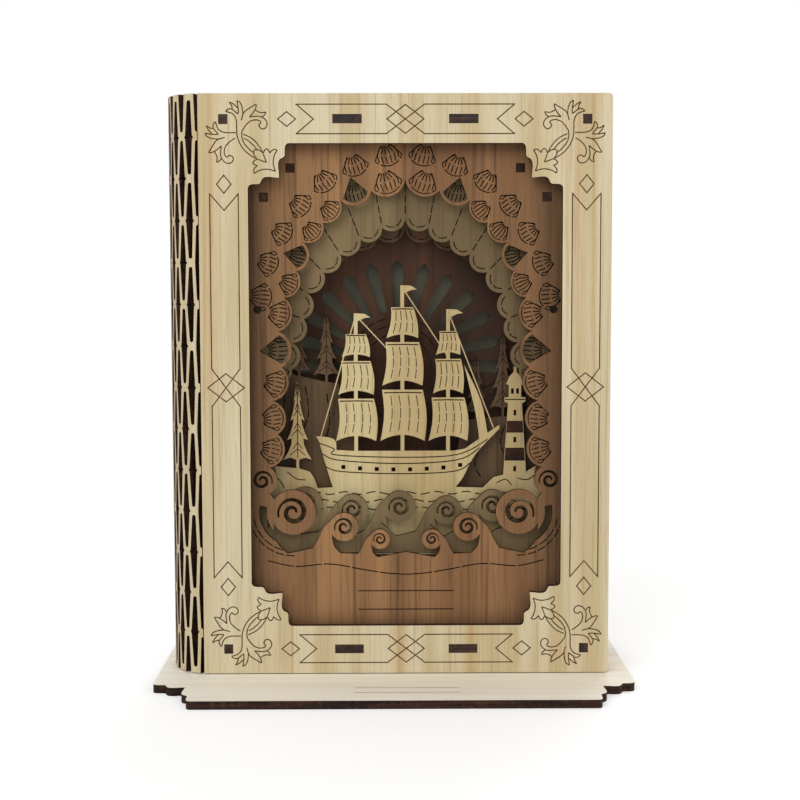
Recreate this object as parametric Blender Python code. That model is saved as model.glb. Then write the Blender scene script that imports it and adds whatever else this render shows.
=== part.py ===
"""A folding book lamp: a laser-cut plywood book that stands on a base plate. A window in its
front cover looks into a lit box of five fretwork picture sheets, and its back cover opens on a
spine that is one sheet of plywood made to bend by rows of slots, a living hinge.

Metres, +Z up. The front cover faces -Y, +X is to the right, and the origin is the middle of the
base plate's underside.
"""

import math

import bmesh
import bpy
from mathutils import Vector

# Driving dimensions
COVER_WIDTH = 0.148
COVER_HEIGHT = 0.210
BOOK_THICKNESS = 0.040
PLY = 0.003
SPINE_BULGE = 0.0130
BASE_WIDTH = 0.1727
BASE_MARGIN = 0.0354
WINDOW_BORDER = 0.0182
WALL_INSET = 0.009
BOOK_SHIFT = 0.0045

# Clearances: beside a tab in its slot, between a fixed piece and its seat, and what a cut overruns
FIT = 0.0002
GAP = 0.0003
OVERRUN = 0.002

# Counts
HINGE_PITCHES = 16
HINGE_PERIODS = 7
ROUND_STEPS = 16
FULL_TURN = math.tau
RIGHT_ANGLE = math.pi / 2
SHARP_ANGLE = math.radians(35)

# Points of a mesh this near each other are one
WELD = 1e-7

# Places that the driving dimensions give
COVER_FOOT = PLY + GAP
COVER_TOP = COVER_FOOT + COVER_HEIGHT
PICTURE_Z = COVER_FOOT + COVER_HEIGHT / 2
COVER_LEFT = BOOK_SHIFT - COVER_WIDTH / 2
FRONT = -BOOK_THICKNESS / 2
BACK = BOOK_THICKNESS / 2
WALL_FRONT = FRONT + PLY
WALL_REAR = BACK - PLY - GAP - PLY
WALL_MID = (WALL_FRONT + WALL_REAR) / 2
WALL_HALF = COVER_WIDTH / 2 - WALL_INSET
INNER_HALF = WALL_HALF - PLY / 2
BOX_FOOT = COVER_FOOT + WALL_INSET - PLY / 2
BOX_TOP = COVER_TOP - WALL_INSET + PLY / 2
WINDOW_HALF_WIDTH = COVER_WIDTH / 2 - WINDOW_BORDER
WINDOW_HALF_HEIGHT = COVER_HEIGHT / 2 - WINDOW_BORDER

for leftover in list(bpy.data.objects):
    bpy.data.objects.remove(leftover)


# Materials

def linear(level):
    """One sRGB channel, 0 to 255, as Blender's linear value."""
    share = level / 255
    return share / 12.92 if share <= 0.04045 else ((share + 0.055) / 1.055) ** 2.4


def finish(name, rgb, roughness, metallic=0.0):
    made = bpy.data.materials.new(name)
    made.use_nodes = True
    shader = made.node_tree.nodes["Principled BSDF"]
    shader.inputs["Base Color"].default_value = (*(linear(level) for level in rgb), 1.0)
    shader.inputs["Roughness"].default_value = roughness
    shader.inputs["Metallic"].default_value = metallic
    return made


BASSWOOD = finish("basswood", (214, 203, 170), 0.55)
WALNUT = finish("walnut", (125, 95, 73), 0.5)
GREIGE = finish("greige_stain", (150, 140, 116), 0.55)
PALE = finish("pale_basswood", (205, 192, 158), 0.55)
SLATE = finish("slate_stain", (104, 100, 86), 0.55)
DARK = finish("dark_stain", (74, 52, 40), 0.5)
FROSTED = finish("frosted_acrylic", (150, 160, 148), 0.4)
STRIP = finish("led_strip_white", (232, 230, 220), 0.4)
PLASTIC = finish("black_plastic", (28, 28, 30), 0.45)
STEEL = finish("nickel_steel", (190, 190, 188), 0.3, 1.0)
WRAP = finish("cell_wrap", (52, 78, 60), 0.35)
WIRE = finish("wire_sheath", (196, 40, 34), 0.45)


# Outlines, as lists of points in a sheet's own plane

def rectangle(centre, width, height):
    across, up = centre
    sides = ((-1, -1), (1, -1), (1, 1), (-1, 1))
    return [(across + width / 2 * i, up + height / 2 * j) for i, j in sides]


def circle(centre, radius, steps=ROUND_STEPS):
    turns = [FULL_TURN * step / steps for step in range(steps)]
    return [(centre[0] + radius * math.cos(t), centre[1] + radius * math.sin(t)) for t in turns]


def shifted(points, across, up):
    return [(x + across, y + up) for x, y in points]


def smooth(points, steps):
    """A Catmull-Rom curve through an open run of points."""
    ends = [points[0], *points, points[-1]]
    curve = []
    for index in range(len(points) - 1):
        a, b, c, d = (Vector(ends[index + k]) for k in range(4))
        for step in range(steps):
            t = step / steps
            spot = 2 * b + (c - a) * t + (2 * a - 5 * b + 4 * c - d) * t**2
            curve.append(tuple((spot + (3 * b - a - 3 * c + d) * t**3) / 2))
    return [*curve, points[-1]]


# Half of a stepped corner, from the end of one side to its sharp tip, as shares of its reach
CORNER_SHARES = (
    (0.0, 1.0),
    (0.053, 0.935),
    (0.118, 0.906),
    (0.241, 0.900),
    (0.312, 0.882),
    (0.359, 0.818),
    (0.418, 0.759),
    (0.559, 0.741),
    (0.759, 0.759),
)


def stepped_rectangle(half_width, half_height, reach_width, reach_height):
    """A rectangle whose corners step in twice to a sharp tip, as on an old book plate."""
    whole = [*CORNER_SHARES, *((b, a) for a, b in reversed(CORNER_SHARES[:-1]))]
    outline = []
    for side, end, order in ((1, 1, 1), (-1, 1, -1), (-1, -1, 1), (1, -1, -1)):
        for across, up in whole[::order]:
            x = side * (half_width - reach_width * across)
            outline.append((x, end * (half_height - reach_height * up)))
    return outline


# Sheets: flat curves, filled and extruded, which is what a laser cutter makes

def flat_curve(name, outlines, thickness):
    curve = bpy.data.curves.new(name, "CURVE")
    curve.dimensions = "2D"
    curve.fill_mode = "BOTH"
    curve.extrude = thickness / 2
    for outline in outlines:
        spline = curve.splines.new("POLY")
        spline.points.add(len(outline) - 1)
        for point, (x, y) in zip(spline.points, outline):
            point.co = (x, y, 0.0, 1.0)
        spline.use_cyclic_u = True
    return curve


def add_object(name, data, material, location=(0, 0, 0), rotation=(0, 0, 0)):
    piece = bpy.data.objects.new(name, data)
    piece.location = location
    piece.rotation_euler = rotation
    if material:
        data.materials.append(material)
    bpy.context.collection.objects.link(piece)
    return piece


FACING = (RIGHT_ANGLE, 0, 0)
SIDEWAYS = (RIGHT_ANGLE, 0, RIGHT_ANGLE)
LEVEL = (0, 0, 0)


def ply_sheet(name, outlines, thickness, location, rotation, material):
    """A cut sheet, whose middle plane is at location. FACING shows X across and Z up,
    SIDEWAYS shows Y across and Z up, and LEVEL shows X across and Y up."""
    return add_object(name, flat_curve(name, outlines, thickness), material, location, rotation)


def block(name, size, centre, material, cutter=False):
    """A plain box as a mesh object with its origin at its centre."""
    form = bmesh.new()
    bmesh.ops.create_cube(form, size=1.0)
    bmesh.ops.scale(form, vec=size, verts=form.verts)
    mesh = bpy.data.meshes.new(name)
    form.to_mesh(mesh)
    form.free()
    piece = add_object(name, mesh, material, centre)
    if cutter:
        piece.hide_render = True
        piece.display_type = "WIRE"
    return piece


def combine(target, other, operation):
    step = target.modifiers.new(f"{operation.lower()}_{other.name}", "BOOLEAN")
    step.operation = operation
    step.object = other
    return step


def turned(name, profile, location, rotation, material, cutter=False):
    """A profile of (radius, height) points, spun about Z and closed on its axis."""
    form = bmesh.new()
    points = [form.verts.new((radius, 0, height)) for radius, height in profile]
    edges = [form.edges.new(pair) for pair in zip(points, points[1:])]
    bmesh.ops.spin(
        form, geom=points + edges, cent=(0, 0, 0), axis=(0, 0, 1),
        angle=FULL_TURN, steps=ROUND_STEPS, use_merge=True,
    )
    bmesh.ops.remove_doubles(form, verts=form.verts, dist=WELD)
    bmesh.ops.recalc_face_normals(form, faces=form.faces)
    mesh = bpy.data.meshes.new(name)
    form.to_mesh(mesh)
    form.free()
    mesh.shade_smooth()
    mesh.set_sharp_from_angle(angle=SHARP_ANGLE)
    piece = add_object(name, mesh, material, location, rotation)
    if cutter:
        piece.hide_render = True
        piece.display_type = "WIRE"
    return piece


# Base plate: one sheet with stepped corners and four slots for the feet of the side walls
BASE_CORNER_WIDTH = 0.0157
BASE_CORNER_DEPTH = 0.023
FOOT_WIDTH = 0.008
FOOT_SPREAD = 0.009


def foot_slots():
    return [
        rectangle(
            (BOOK_SHIFT + side * WALL_HALF, WALL_MID + end * FOOT_SPREAD),
            PLY + 2 * FIT,
            FOOT_WIDTH + 2 * FIT,
        )
        for side in (-1, 1)
        for end in (-1, 1)
    ]


def base_plate():
    half_depth = BOOK_THICKNESS / 2 + BASE_MARGIN
    outline = stepped_rectangle(
        BASE_WIDTH / 2, half_depth, BASE_CORNER_WIDTH, BASE_CORNER_DEPTH
    )
    ply_sheet("base_plate", [outline, *foot_slots()], PLY, (0, 0, PLY / 2), LEVEL, BASSWOOD)


# Covers: the front one has the window and the holes that the box's tenons fill
WINDOW_CORNER = 0.017
FORE_EDGE_RADIUS = 0.0015
TENON_SPREAD = 0.0208
TENON_WIDTH = 0.0102
END_TENON = 0.0032
MAGNET_RADIUS = 0.0025
MAGNET_INSET = 0.012
MAGNET_HEIGHT_SHARES = (0.22, 0.78)
CORNER_STEPS = 4


def tenon_holes():
    """Holes for two tenons on each level wall and one at each end of the side walls."""
    level = COVER_HEIGHT / 2 - WALL_INSET
    end = level + PLY / 2 - END_TENON / 2
    slots = []
    for up in (-1, 1):
        for side in (-1, 1):
            middle = (side * TENON_SPREAD, up * level)
            slots.append(rectangle(middle, TENON_WIDTH + 2 * FIT, PLY + 2 * FIT))
            corner = (side * WALL_HALF, up * end)
            slots.append(rectangle(corner, PLY + 2 * FIT, END_TENON + 2 * FIT))
    return slots


def cover_outline():
    """A book board with its two fore-edge corners rounded and its spine edge straight."""
    half_width, half_height = COVER_WIDTH / 2, COVER_HEIGHT / 2
    outline = [(-half_width, -half_height)]
    for end, start in ((-1, -RIGHT_ANGLE), (1, 0)):
        centre_x = half_width - FORE_EDGE_RADIUS
        centre_y = end * (half_height - FORE_EDGE_RADIUS)
        for step in range(CORNER_STEPS + 1):
            turn = start + RIGHT_ANGLE * step / CORNER_STEPS
            x = centre_x + FORE_EDGE_RADIUS * math.cos(turn)
            outline.append((x, centre_y + FORE_EDGE_RADIUS * math.sin(turn)))
    outline.append((-half_width, half_height))
    return outline


def magnet_places():
    """Across and up from the middle of a cover, on its fore-edge side."""
    across = COVER_WIDTH / 2 - MAGNET_INSET
    return [(across, (share - 0.5) * COVER_HEIGHT) for share in MAGNET_HEIGHT_SHARES]


def front_cover():
    window = stepped_rectangle(
        WINDOW_HALF_WIDTH, WINDOW_HALF_HEIGHT, WINDOW_CORNER, WINDOW_CORNER
    )
    place = (BOOK_SHIFT, FRONT + PLY / 2, PICTURE_Z)
    outlines = [cover_outline(), window, *tenon_holes()]
    ply_sheet("front_cover", outlines, PLY, place, FACING, BASSWOOD)


def back_cover(hinge_axis):
    """The cover that opens. Its parent is an empty on the hinge axis."""
    holes = [circle(place, MAGNET_RADIUS + FIT) for place in magnet_places()]
    place = Vector((BOOK_SHIFT, BACK - PLY / 2, PICTURE_Z)) - hinge_axis.location
    cover = ply_sheet("back_cover", [cover_outline(), *holes], PLY, place, FACING, BASSWOOD)
    cover.parent = hinge_axis


# Spine: a living hinge, cut flat and then bent round half an ellipse
SLOT_END_HALF = 0.0007
SLOT_TIP_HALF = 0.00035
SLOT_MIDDLE_HALF = 0.0011
SLOT_END_ROUND = 0.0006
LIGAMENT_HALF = 0.00145
BAND = 0.0023
TAB_ROUND = 0.0005
ARC_SAMPLES = 400


def spine_ellipse():
    """Points along the middle surface of the bent spine with the length to each."""
    across = SPINE_BULGE - PLY / 2
    deep = BOOK_THICKNESS / 2 - PLY / 2
    points = []
    for step in range(ARC_SAMPLES + 1):
        turn = math.pi * step / ARC_SAMPLES
        points.append(Vector((-across * math.sin(turn), -deep * math.cos(turn))))
    lengths = [0.0]
    for first, second in zip(points, points[1:]):
        lengths.append(lengths[-1] + (second - first).length)
    return across, deep, lengths


def bend_onto_spine(mesh):
    """Moves a flat sheet's points onto the half ellipse, keeping every length on its middle."""
    across, deep, lengths = spine_ellipse()
    for point in mesh.vertices:
        run = min(max(point.co.x, 0.0), lengths[-1])
        index = next(k for k in range(ARC_SAMPLES) if lengths[k + 1] >= run)
        part = (run - lengths[index]) / (lengths[index + 1] - lengths[index])
        turn = math.pi * (index + part) / ARC_SAMPLES
        middle = Vector((-across * math.sin(turn), -deep * math.cos(turn)))
        outward = Vector((-deep * math.sin(turn), -across * math.cos(turn))).normalized()
        spot = middle + outward * point.co.z
        point.co = (spot.x, spot.y, point.co.y)


def slot_side(low, high):
    """One side of a closed slot, as (half width, height) points from low to high."""
    return [
        (SLOT_TIP_HALF, low),
        (SLOT_END_HALF, low + SLOT_END_ROUND),
        (SLOT_MIDDLE_HALF, (low + high) / 2),
        (SLOT_END_HALF, high - SLOT_END_ROUND),
        (SLOT_TIP_HALF, high),
    ]


def end_slot_side(high):
    """One side of a slot that is open at the sheet's end, from the end inwards."""
    return [
        (SLOT_MIDDLE_HALF + TAB_ROUND, 0.0),
        (SLOT_MIDDLE_HALF, TAB_ROUND),
        (SLOT_END_HALF, high - SLOT_END_ROUND),
        (SLOT_TIP_HALF, high),
    ]


def hinge_outline(length, period):
    """The sheet's edge, anticlockwise: open slots in both ends, half slots down both sides."""
    pitch = length / HINGE_PITCHES
    first = period / 2 - LIGAMENT_HALF
    lower_end = []
    for column in range(0, HINGE_PITCHES + 1, 2):
        middle = column * pitch
        side = end_slot_side(first)
        if column > 0:
            lower_end += [(middle - half, height) for half, height in side]
        if column in (0, HINGE_PITCHES):
            lower_end.append((middle, first))
        if column < HINGE_PITCHES:
            lower_end += [(middle + half, height) for half, height in reversed(side)]
    long_side = []
    for row in range(HINGE_PERIODS - 1):
        low = (row + 0.5) * period + LIGAMENT_HALF
        high = (row + 1.5) * period - LIGAMENT_HALF
        side = [(length - half, height) for half, height in slot_side(low, high)]
        long_side += [(length, low), *side, (length, high)]
    upper_end = [(length - x, COVER_HEIGHT - y) for x, y in lower_end]
    other_side = [(length - x, COVER_HEIGHT - y) for x, y in long_side]
    return lower_end + long_side + upper_end + other_side


def hinge_slots(length, period):
    """The closed slots: odd columns run from band to band, even ones stand half a period off."""
    pitch = length / HINGE_PITCHES
    slots = []
    for column in range(1, HINGE_PITCHES):
        if column % 2:
            stops = [row * period for row in range(HINGE_PERIODS + 1)]
        else:
            stops = [(row + 0.5) * period for row in range(HINGE_PERIODS)]
        for low, high in zip(stops, stops[1:]):
            low += LIGAMENT_HALF if low > 0 else BAND
            high -= LIGAMENT_HALF if high < COVER_HEIGHT else BAND
            side = slot_side(low, high)
            right = [(column * pitch + half, height) for half, height in side]
            left = [(column * pitch - half, height) for half, height in reversed(side)]
            slots.append(right + left)
    return slots


def spine_hinge():
    length = spine_ellipse()[2][-1]
    period = COVER_HEIGHT / HINGE_PERIODS
    outlines = [hinge_outline(length, period), *hinge_slots(length, period)]
    pattern = bpy.data.objects.new("hinge_pattern", flat_curve("hinge_pattern", outlines, PLY))
    mesh = bpy.data.meshes.new_from_object(pattern)
    bpy.data.objects.remove(pattern)
    form = bmesh.new()
    form.from_mesh(mesh)
    bmesh.ops.remove_doubles(form, verts=form.verts, dist=WELD)
    form.to_mesh(mesh)
    form.free()
    bend_onto_spine(mesh)
    form = bmesh.new()
    form.from_mesh(mesh)
    bmesh.ops.recalc_face_normals(form, faces=form.faces)
    form.to_mesh(mesh)
    form.free()
    mesh.name = "spine_hinge"
    add_object("spine_hinge", mesh, BASSWOOD, (COVER_LEFT, 0, COVER_FOOT))


# Battery tray: two cells one above the other, and a switch bay beside them
CELL_RADIUS = 0.00525
CELL_BODY = 0.0433
NUB_RADIUS = 0.0019
NUB_LENGTH = 0.0012
CELL_CHAMFER = 0.0004
CELL_GAP = 0.0004
CONTACT_PLATE = 0.0004
SPRING_RISE = 0.0026
BUTTON_RISE = 0.0010
TRAY_WALL = 0.0015
TRAY_FLOOR = 0.0012
GROOVE = 0.0008
LIP = 0.0008
LID = 0.0015
SWITCH_BAY = 0.0105
TRAY_SIDE_ROOM = 0.0085

CELL_LENGTH = CELL_BODY + NUB_LENGTH
CELL_BAY = CELL_LENGTH + 2 * CONTACT_PLATE + SPRING_RISE + BUTTON_RISE + 4 * GAP
BAY_HEIGHT = 4 * CELL_RADIUS + 3 * CELL_GAP
TRAY_LENGTH = SWITCH_BAY + CELL_BAY + 3 * TRAY_WALL
TRAY_HEIGHT = BAY_HEIGHT + 2 * TRAY_WALL
TRAY_LEFT = TRAY_SIDE_ROOM - INNER_HALF
TRAY_REAR = WALL_REAR - GAP
LID_REAR = TRAY_REAR - LIP - GAP
LID_FRONT = LID_REAR - LID
BAY_DEPTH = 2 * CELL_RADIUS + 2 * GAP
BAY_FRONT = LID_FRONT - BAY_DEPTH
TRAY_FRONT = BAY_FRONT - TRAY_FLOOR
TRAY_FOOT = BOX_FOOT + PLY + GAP
TRAY_MID_Z = TRAY_FOOT + TRAY_HEIGHT / 2
SWITCH_BAY_LEFT = TRAY_LEFT + TRAY_WALL
CELL_BAY_LEFT = SWITCH_BAY_LEFT + SWITCH_BAY + TRAY_WALL
CELL_BAY_RIGHT = CELL_BAY_LEFT + CELL_BAY
CUT_OUT_MARGIN = 0.0015


# Picture sheets, front to back: where each stands and what it is cut from
SHEET = 0.002
FIRST_SHEET_SETBACK = 0.0025
LIGHT_ROOM = 0.0062
SHEET_NAMES = ("cloud_frame_sheet", "inner_cloud_sheet", "ship_sheet", "headland_sheet",
               "mountain_sheet")
SHEET_RUN = WALL_REAR - LIGHT_ROOM - WALL_FRONT - FIRST_SHEET_SETBACK - SHEET
SHEET_SPACING = SHEET_RUN / len(SHEET_NAMES)
SHELF_ROOM = 0.0037
SHELF_HEIGHT = TRAY_FOOT + TRAY_HEIGHT + SHELF_ROOM + PLY
SHEET_TAB = 0.012
TAB_HEIGHT_SHARES = (0.36, 0.80)
WALL_TAB = 0.006


def sheet_depth(index):
    """The middle plane of a picture sheet. The diffuser follows as one more."""
    return WALL_FRONT + FIRST_SHEET_SETBACK + SHEET / 2 + index * SHEET_SPACING


DIFFUSER_INDEX = len(SHEET_NAMES)
SHELF_FRONT = sheet_depth(0) + SHEET / 2 + GAP


# Box: two side walls with feet, two level walls between them and a shelf over the batteries

def side_wall(name, side):
    foot_low = GAP
    low, high = BOX_FOOT, BOX_TOP
    outline = [(WALL_FRONT, low + END_TENON), (FRONT, low + END_TENON), (FRONT, low)]
    for middle in (WALL_MID - FOOT_SPREAD, WALL_MID + FOOT_SPREAD):
        outline.append((middle - FOOT_WIDTH / 2, low))
        outline.append((middle - FOOT_WIDTH / 2, foot_low))
        outline.append((middle + FOOT_WIDTH / 2, foot_low))
        outline.append((middle + FOOT_WIDTH / 2, low))
        if middle < WALL_MID:
            outline += notch(low, low + PLY + FIT)
    outline += [(WALL_REAR + PLY, low), (WALL_REAR + PLY, low + END_TENON)]
    outline += [(WALL_REAR, low + END_TENON), (WALL_REAR, high - END_TENON)]
    outline += [(WALL_REAR + PLY, high - END_TENON), (WALL_REAR + PLY, high)]
    outline += [(x, y) for x, y in reversed(notch(high, high - PLY - FIT))]
    outline += [(FRONT, high), (FRONT, high - END_TENON), (WALL_FRONT, high - END_TENON)]
    slots = [rectangle((WALL_MID, SHELF_HEIGHT - PLY / 2), WALL_TAB + 2 * FIT, PLY + 2 * FIT)]
    for index in range(DIFFUSER_INDEX + 1):
        for share in TAB_HEIGHT_SHARES:
            middle = (sheet_depth(index), COVER_FOOT + share * COVER_HEIGHT)
            slots.append(rectangle(middle, SHEET + 2 * FIT, SHEET_TAB + 2 * FIT))
    place = (BOOK_SHIFT + side * WALL_HALF, 0, 0)
    ply_sheet(name, [outline, *slots], PLY, place, SIDEWAYS, BASSWOOD)


def notch(mouth, floor):
    """An open notch in a wall's end for a level wall's tab, entered from the front."""
    half = WALL_TAB / 2 + FIT
    return [
        (WALL_MID - half, mouth),
        (WALL_MID - half, floor),
        (WALL_MID + half, floor),
        (WALL_MID + half, mouth),
    ]


def with_end_tabs(front, rear):
    """A level board between the side walls, anticlockwise, with a tab into each."""
    half = INNER_HALF - FIT
    tab = WALL_TAB / 2
    reach = INNER_HALF + PLY
    right = [(half, WALL_MID - tab), (reach, WALL_MID - tab),
             (reach, WALL_MID + tab), (half, WALL_MID + tab)]
    left = [(-x, y) for x, y in reversed(right)]
    return (half, front, rear, right, left)


def level_wall(name, height):
    half, front, rear, right, left = with_end_tabs(WALL_FRONT, WALL_REAR)
    outline = [(-half, front)]
    for side in (-1, 1):
        near, far = side * TENON_SPREAD - TENON_WIDTH / 2, side * TENON_SPREAD + TENON_WIDTH / 2
        outline += [(near, front), (near, FRONT), (far, FRONT), (far, front)]
    outline += [(half, front), *right, (half, rear)]
    for side in (1, -1):
        near, far = side * TENON_SPREAD - TENON_WIDTH / 2, side * TENON_SPREAD + TENON_WIDTH / 2
        outline += [(far, rear), (far, rear + PLY), (near, rear + PLY), (near, rear)]
    outline += [(-half, rear), *left]
    ply_sheet(name, [outline], PLY, (BOOK_SHIFT, 0, height), LEVEL, BASSWOOD)


WIRE_NOTCH_WIDTH = 0.006
WIRE_NOTCH_DEPTH = 0.005
WIRE_SIDE_ROOM = 0.0145
WIRE_ACROSS = WIRE_SIDE_ROOM - INNER_HALF


def compartment_shelf():
    """It carries the inner sheets and roofs the battery compartment. The wires pass its notch."""
    half, front, rear, right, left = with_end_tabs(SHELF_FRONT, WALL_REAR - GAP)
    near, far = WIRE_ACROSS - WIRE_NOTCH_WIDTH / 2, WIRE_ACROSS + WIRE_NOTCH_WIDTH / 2
    outline = [(-half, front), (half, front), *right, (half, rear), (far, rear)]
    outline += [(far, rear - WIRE_NOTCH_DEPTH), (near, rear - WIRE_NOTCH_DEPTH)]
    outline += [(near, rear), (-half, rear), *left]
    place = (BOOK_SHIFT, 0, SHELF_HEIGHT - PLY / 2)
    ply_sheet("compartment_shelf", [outline], PLY, place, LEVEL, BASSWOOD)


# Picture motifs. Places are shares of the window's half width and half height, from its middle.

def placed(shares):
    return [(x * WINDOW_HALF_WIDTH, y * WINDOW_HALF_HEIGHT) for x, y in shares]


def mirrored(shares):
    """A run of shares up the right side, then down the left one, past a shared top."""
    return [*shares, *((-x, y) for x, y in reversed(shares[:-1]))]


CLOUD_STEPS = 5
CLOUD_BULGE_SHARE = 0.32


def clouds(knots):
    """A cloud's edge: from knot to knot an arc that swells to the left of the way along."""
    edge = [knots[0]]
    for start, stop in zip(knots, knots[1:]):
        a, b = Vector(start), Vector(stop)
        chord = b - a
        swell = Vector((-chord.y, chord.x)) * CLOUD_BULGE_SHARE
        sagitta = swell.length
        radius = (chord.length**2 / 4 + sagitta**2) / (2 * sagitta)
        middle = (a + b) / 2
        centre = middle + swell.normalized() * (sagitta - radius)
        begin = math.atan2(a.y - centre.y, a.x - centre.x)
        turn = 2 * (math.pi - math.asin(min(1.0, chord.length / 2 / radius)))
        if sagitta < radius:
            turn = FULL_TURN - turn
        for step in range(1, CLOUD_STEPS + 1):
            angle = begin - turn * step / CLOUD_STEPS
            edge.append(tuple(centre + radius * Vector((math.cos(angle), math.sin(angle)))))
    return edge


# Breakers: each rolls over into a round head. A head's place and radius go by the window, and its
# back and its hollow face by the radius.
HEAD_STEPS = 9
HEAD_BEGIN = math.radians(145)
HEAD_TURN = math.radians(295)
BREAKER_BACK_SHARES = ((-2.2, -1.5), (-1.8, -0.85), (-1.42, -0.05))
BREAKER_FACE_SHARES = ((-0.80, -1.0), (-0.66, -1.45), (-0.25, -1.85))


def breaker(place_share, radius_share, back_shares=BREAKER_BACK_SHARES):
    """One wave that runs to the right: up its back, over its head and down its face."""
    across, up = placed([place_share])[0]
    radius = radius_share * WINDOW_HALF_WIDTH
    back = [(across + radius * x, up + radius * y) for x, y in back_shares]
    head = []
    for step in range(HEAD_STEPS + 1):
        turn = HEAD_BEGIN - HEAD_TURN * step / HEAD_STEPS
        head.append((across + radius * math.cos(turn), up + radius * math.sin(turn)))
    face = [(across + radius * x, up + radius * y) for x, y in BREAKER_FACE_SHARES]
    return back + head + face


FRAME_CLOUD_SHARES = (
    (0.90, -0.455), (0.885, -0.34), (0.83, -0.20), (0.86, -0.06), (0.80, 0.08), (0.82, 0.23),
    (0.78, 0.37), (0.70, 0.48), (0.66, 0.60), (0.53, 0.68), (0.42, 0.775), (0.22, 0.81),
    (0.0, 0.86),
)
INNER_CLOUD_SHARES = (
    (0.93, -0.46), (0.95, -0.28), (0.97, -0.10), (0.85, 0.02), (0.74, 0.07), (0.735, 0.18),
    (0.66, 0.28), (0.64, 0.39), (0.53, 0.475), (0.42, 0.55), (0.29, 0.61), (0.15, 0.66),
    (0.0, 0.70),
)
FRAME_BREAKER_SHARES = (((-0.735, -0.530), 0.147), ((-0.403, -0.593), 0.093),
                        ((-0.170, -0.645), 0.0645))
FRAME_DIP_SHARE = (0.0, -0.700)
INNER_BREAKER_SHARES = (((-0.66, -0.500), 0.110), ((-0.35, -0.525), 0.100),
                        ((-0.04, -0.515), 0.105), ((0.27, -0.530), 0.095),
                        ((0.57, -0.510), 0.105))


def frame_opening():
    """Clouds over three breakers on either side. The outer ones rise out of the frame itself."""
    knots = placed(mirrored(FRAME_CLOUD_SHARES))
    water = breaker(*FRAME_BREAKER_SHARES[0], back_shares=())
    for shares in FRAME_BREAKER_SHARES[1:]:
        water += breaker(*shares)
    other_side = [(-x, y) for x, y in reversed(water)]
    return [water + placed([FRAME_DIP_SHARE]) + other_side + clouds(knots)]


def inner_opening():
    knots = placed(mirrored(INNER_CLOUD_SHARES))
    water = []
    for shares in INNER_BREAKER_SHARES:
        water += breaker(*shares)
    return [water + clouds(knots)]


# Ship: hull points and sail stacks as shares of the hull's length and the mast's height
SHIP_LENGTH_SHARE = 1.00
SHIP_HEIGHT_SHARE = 0.840
SHIP_PLACE_SHARE = (-0.04, -0.42)
MAST_HALF = 0.0007
SHIP_LENGTH = SHIP_LENGTH_SHARE * WINDOW_HALF_WIDTH
SHIP_HEIGHT = SHIP_HEIGHT_SHARE * WINDOW_HALF_HEIGHT
STERN_SHARES = ((-0.44, -0.02), (-0.48, 0.08), (-0.53, 0.215), (-0.545, 0.24), (-0.43, 0.225),
                (-0.415, 0.17))
BOW_SHARES = ((0.36, 0.165), (0.43, 0.175), (0.525, 0.225), (0.500, 0.36), (0.425, 0.60),
              (0.535, 0.42), (0.580, 0.255), (0.655, 0.295), (0.660, 0.278), (0.50, 0.145),
              (0.42, 0.03), (0.37, -0.02))
# Each mast: its place, then its sails as foot, head, half width at the foot and at the head
MAST_SHARES = (
    (-0.285, 0.86, ((0.215, 0.43, 0.132, 0.118), (0.45, 0.62, 0.116, 0.096),
                    (0.64, 0.755, 0.092, 0.066))),
    (0.02, 1.0, ((0.215, 0.475, 0.146, 0.134), (0.495, 0.715, 0.132, 0.110),
                 (0.735, 0.89, 0.104, 0.072))),
    (0.32, 0.88, ((0.215, 0.435, 0.128, 0.108), (0.455, 0.63, 0.098, 0.084),
                  (0.65, 0.77, 0.080, 0.056))),
)
PENNANT_SHARES = ((0.085, 0.020), (0.0, 0.040))
DECK_SHARE = 0.165
SAIL_HOLLOW_SHARE = 0.12
SAIL_BELLY_SHARE = 0.14


def sail_edge(foot, head, foot_half, head_half, belly_share):
    """The outer edge of a square sail, from the mast at its foot to the mast at its head."""
    rise = (head - foot) * SAIL_HOLLOW_SHARE
    return [
        (foot_half / 2, foot + rise),
        (foot_half, foot),
        ((foot_half + head_half) / 2 * (1 + belly_share), (foot + head) / 2),
        (head_half, head),
    ]


def mast_side(sails, belly_share):
    """One side of a mast with its sails, as (half width, height) in metres."""
    side = [(MAST_HALF, DECK_SHARE * SHIP_HEIGHT)]
    for foot, head, foot_half, head_half in sails:
        side.append((MAST_HALF, (foot + (head - foot) * SAIL_HOLLOW_SHARE) * SHIP_HEIGHT))
        edge = sail_edge(foot, head, foot_half, head_half, belly_share)
        side += [(half * SHIP_LENGTH, up * SHIP_HEIGHT) for half, up in edge]
        side.append((MAST_HALF, head * SHIP_HEIGHT))
    return side


def mast(place, top, sails):
    """Up the windward edge of a mast, round its pennant and down the side its sails fill."""
    middle = place * SHIP_LENGTH
    up_side = [(middle - half, up) for half, up in mast_side(sails, -SAIL_BELLY_SHARE)]
    down_side = [(middle + half, up) for half, up in reversed(mast_side(sails, SAIL_BELLY_SHARE))]
    tip = [(middle - MAST_HALF, top * SHIP_HEIGHT), (middle + MAST_HALF, top * SHIP_HEIGHT)]
    for along, down in PENNANT_SHARES:
        tip.append((middle + MAST_HALF + along * SHIP_LENGTH, (top - down) * SHIP_HEIGHT))
    return up_side + tip + down_side


def ship():
    """The ship's upper edge from its stern to its bow, with its waterline at zero height."""
    edge = [(x * SHIP_LENGTH, y * SHIP_HEIGHT) for x, y in STERN_SHARES]
    for place, top, sails in MAST_SHARES:
        edge += mast(place, top, sails)
    return edge + [(x * SHIP_LENGTH, y * SHIP_HEIGHT) for x, y in BOW_SHARES]


FIR_TIERS = 4
FIR_TRUNK_SHARE = 0.10
FIR_TUCK_SHARE = 0.45


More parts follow.
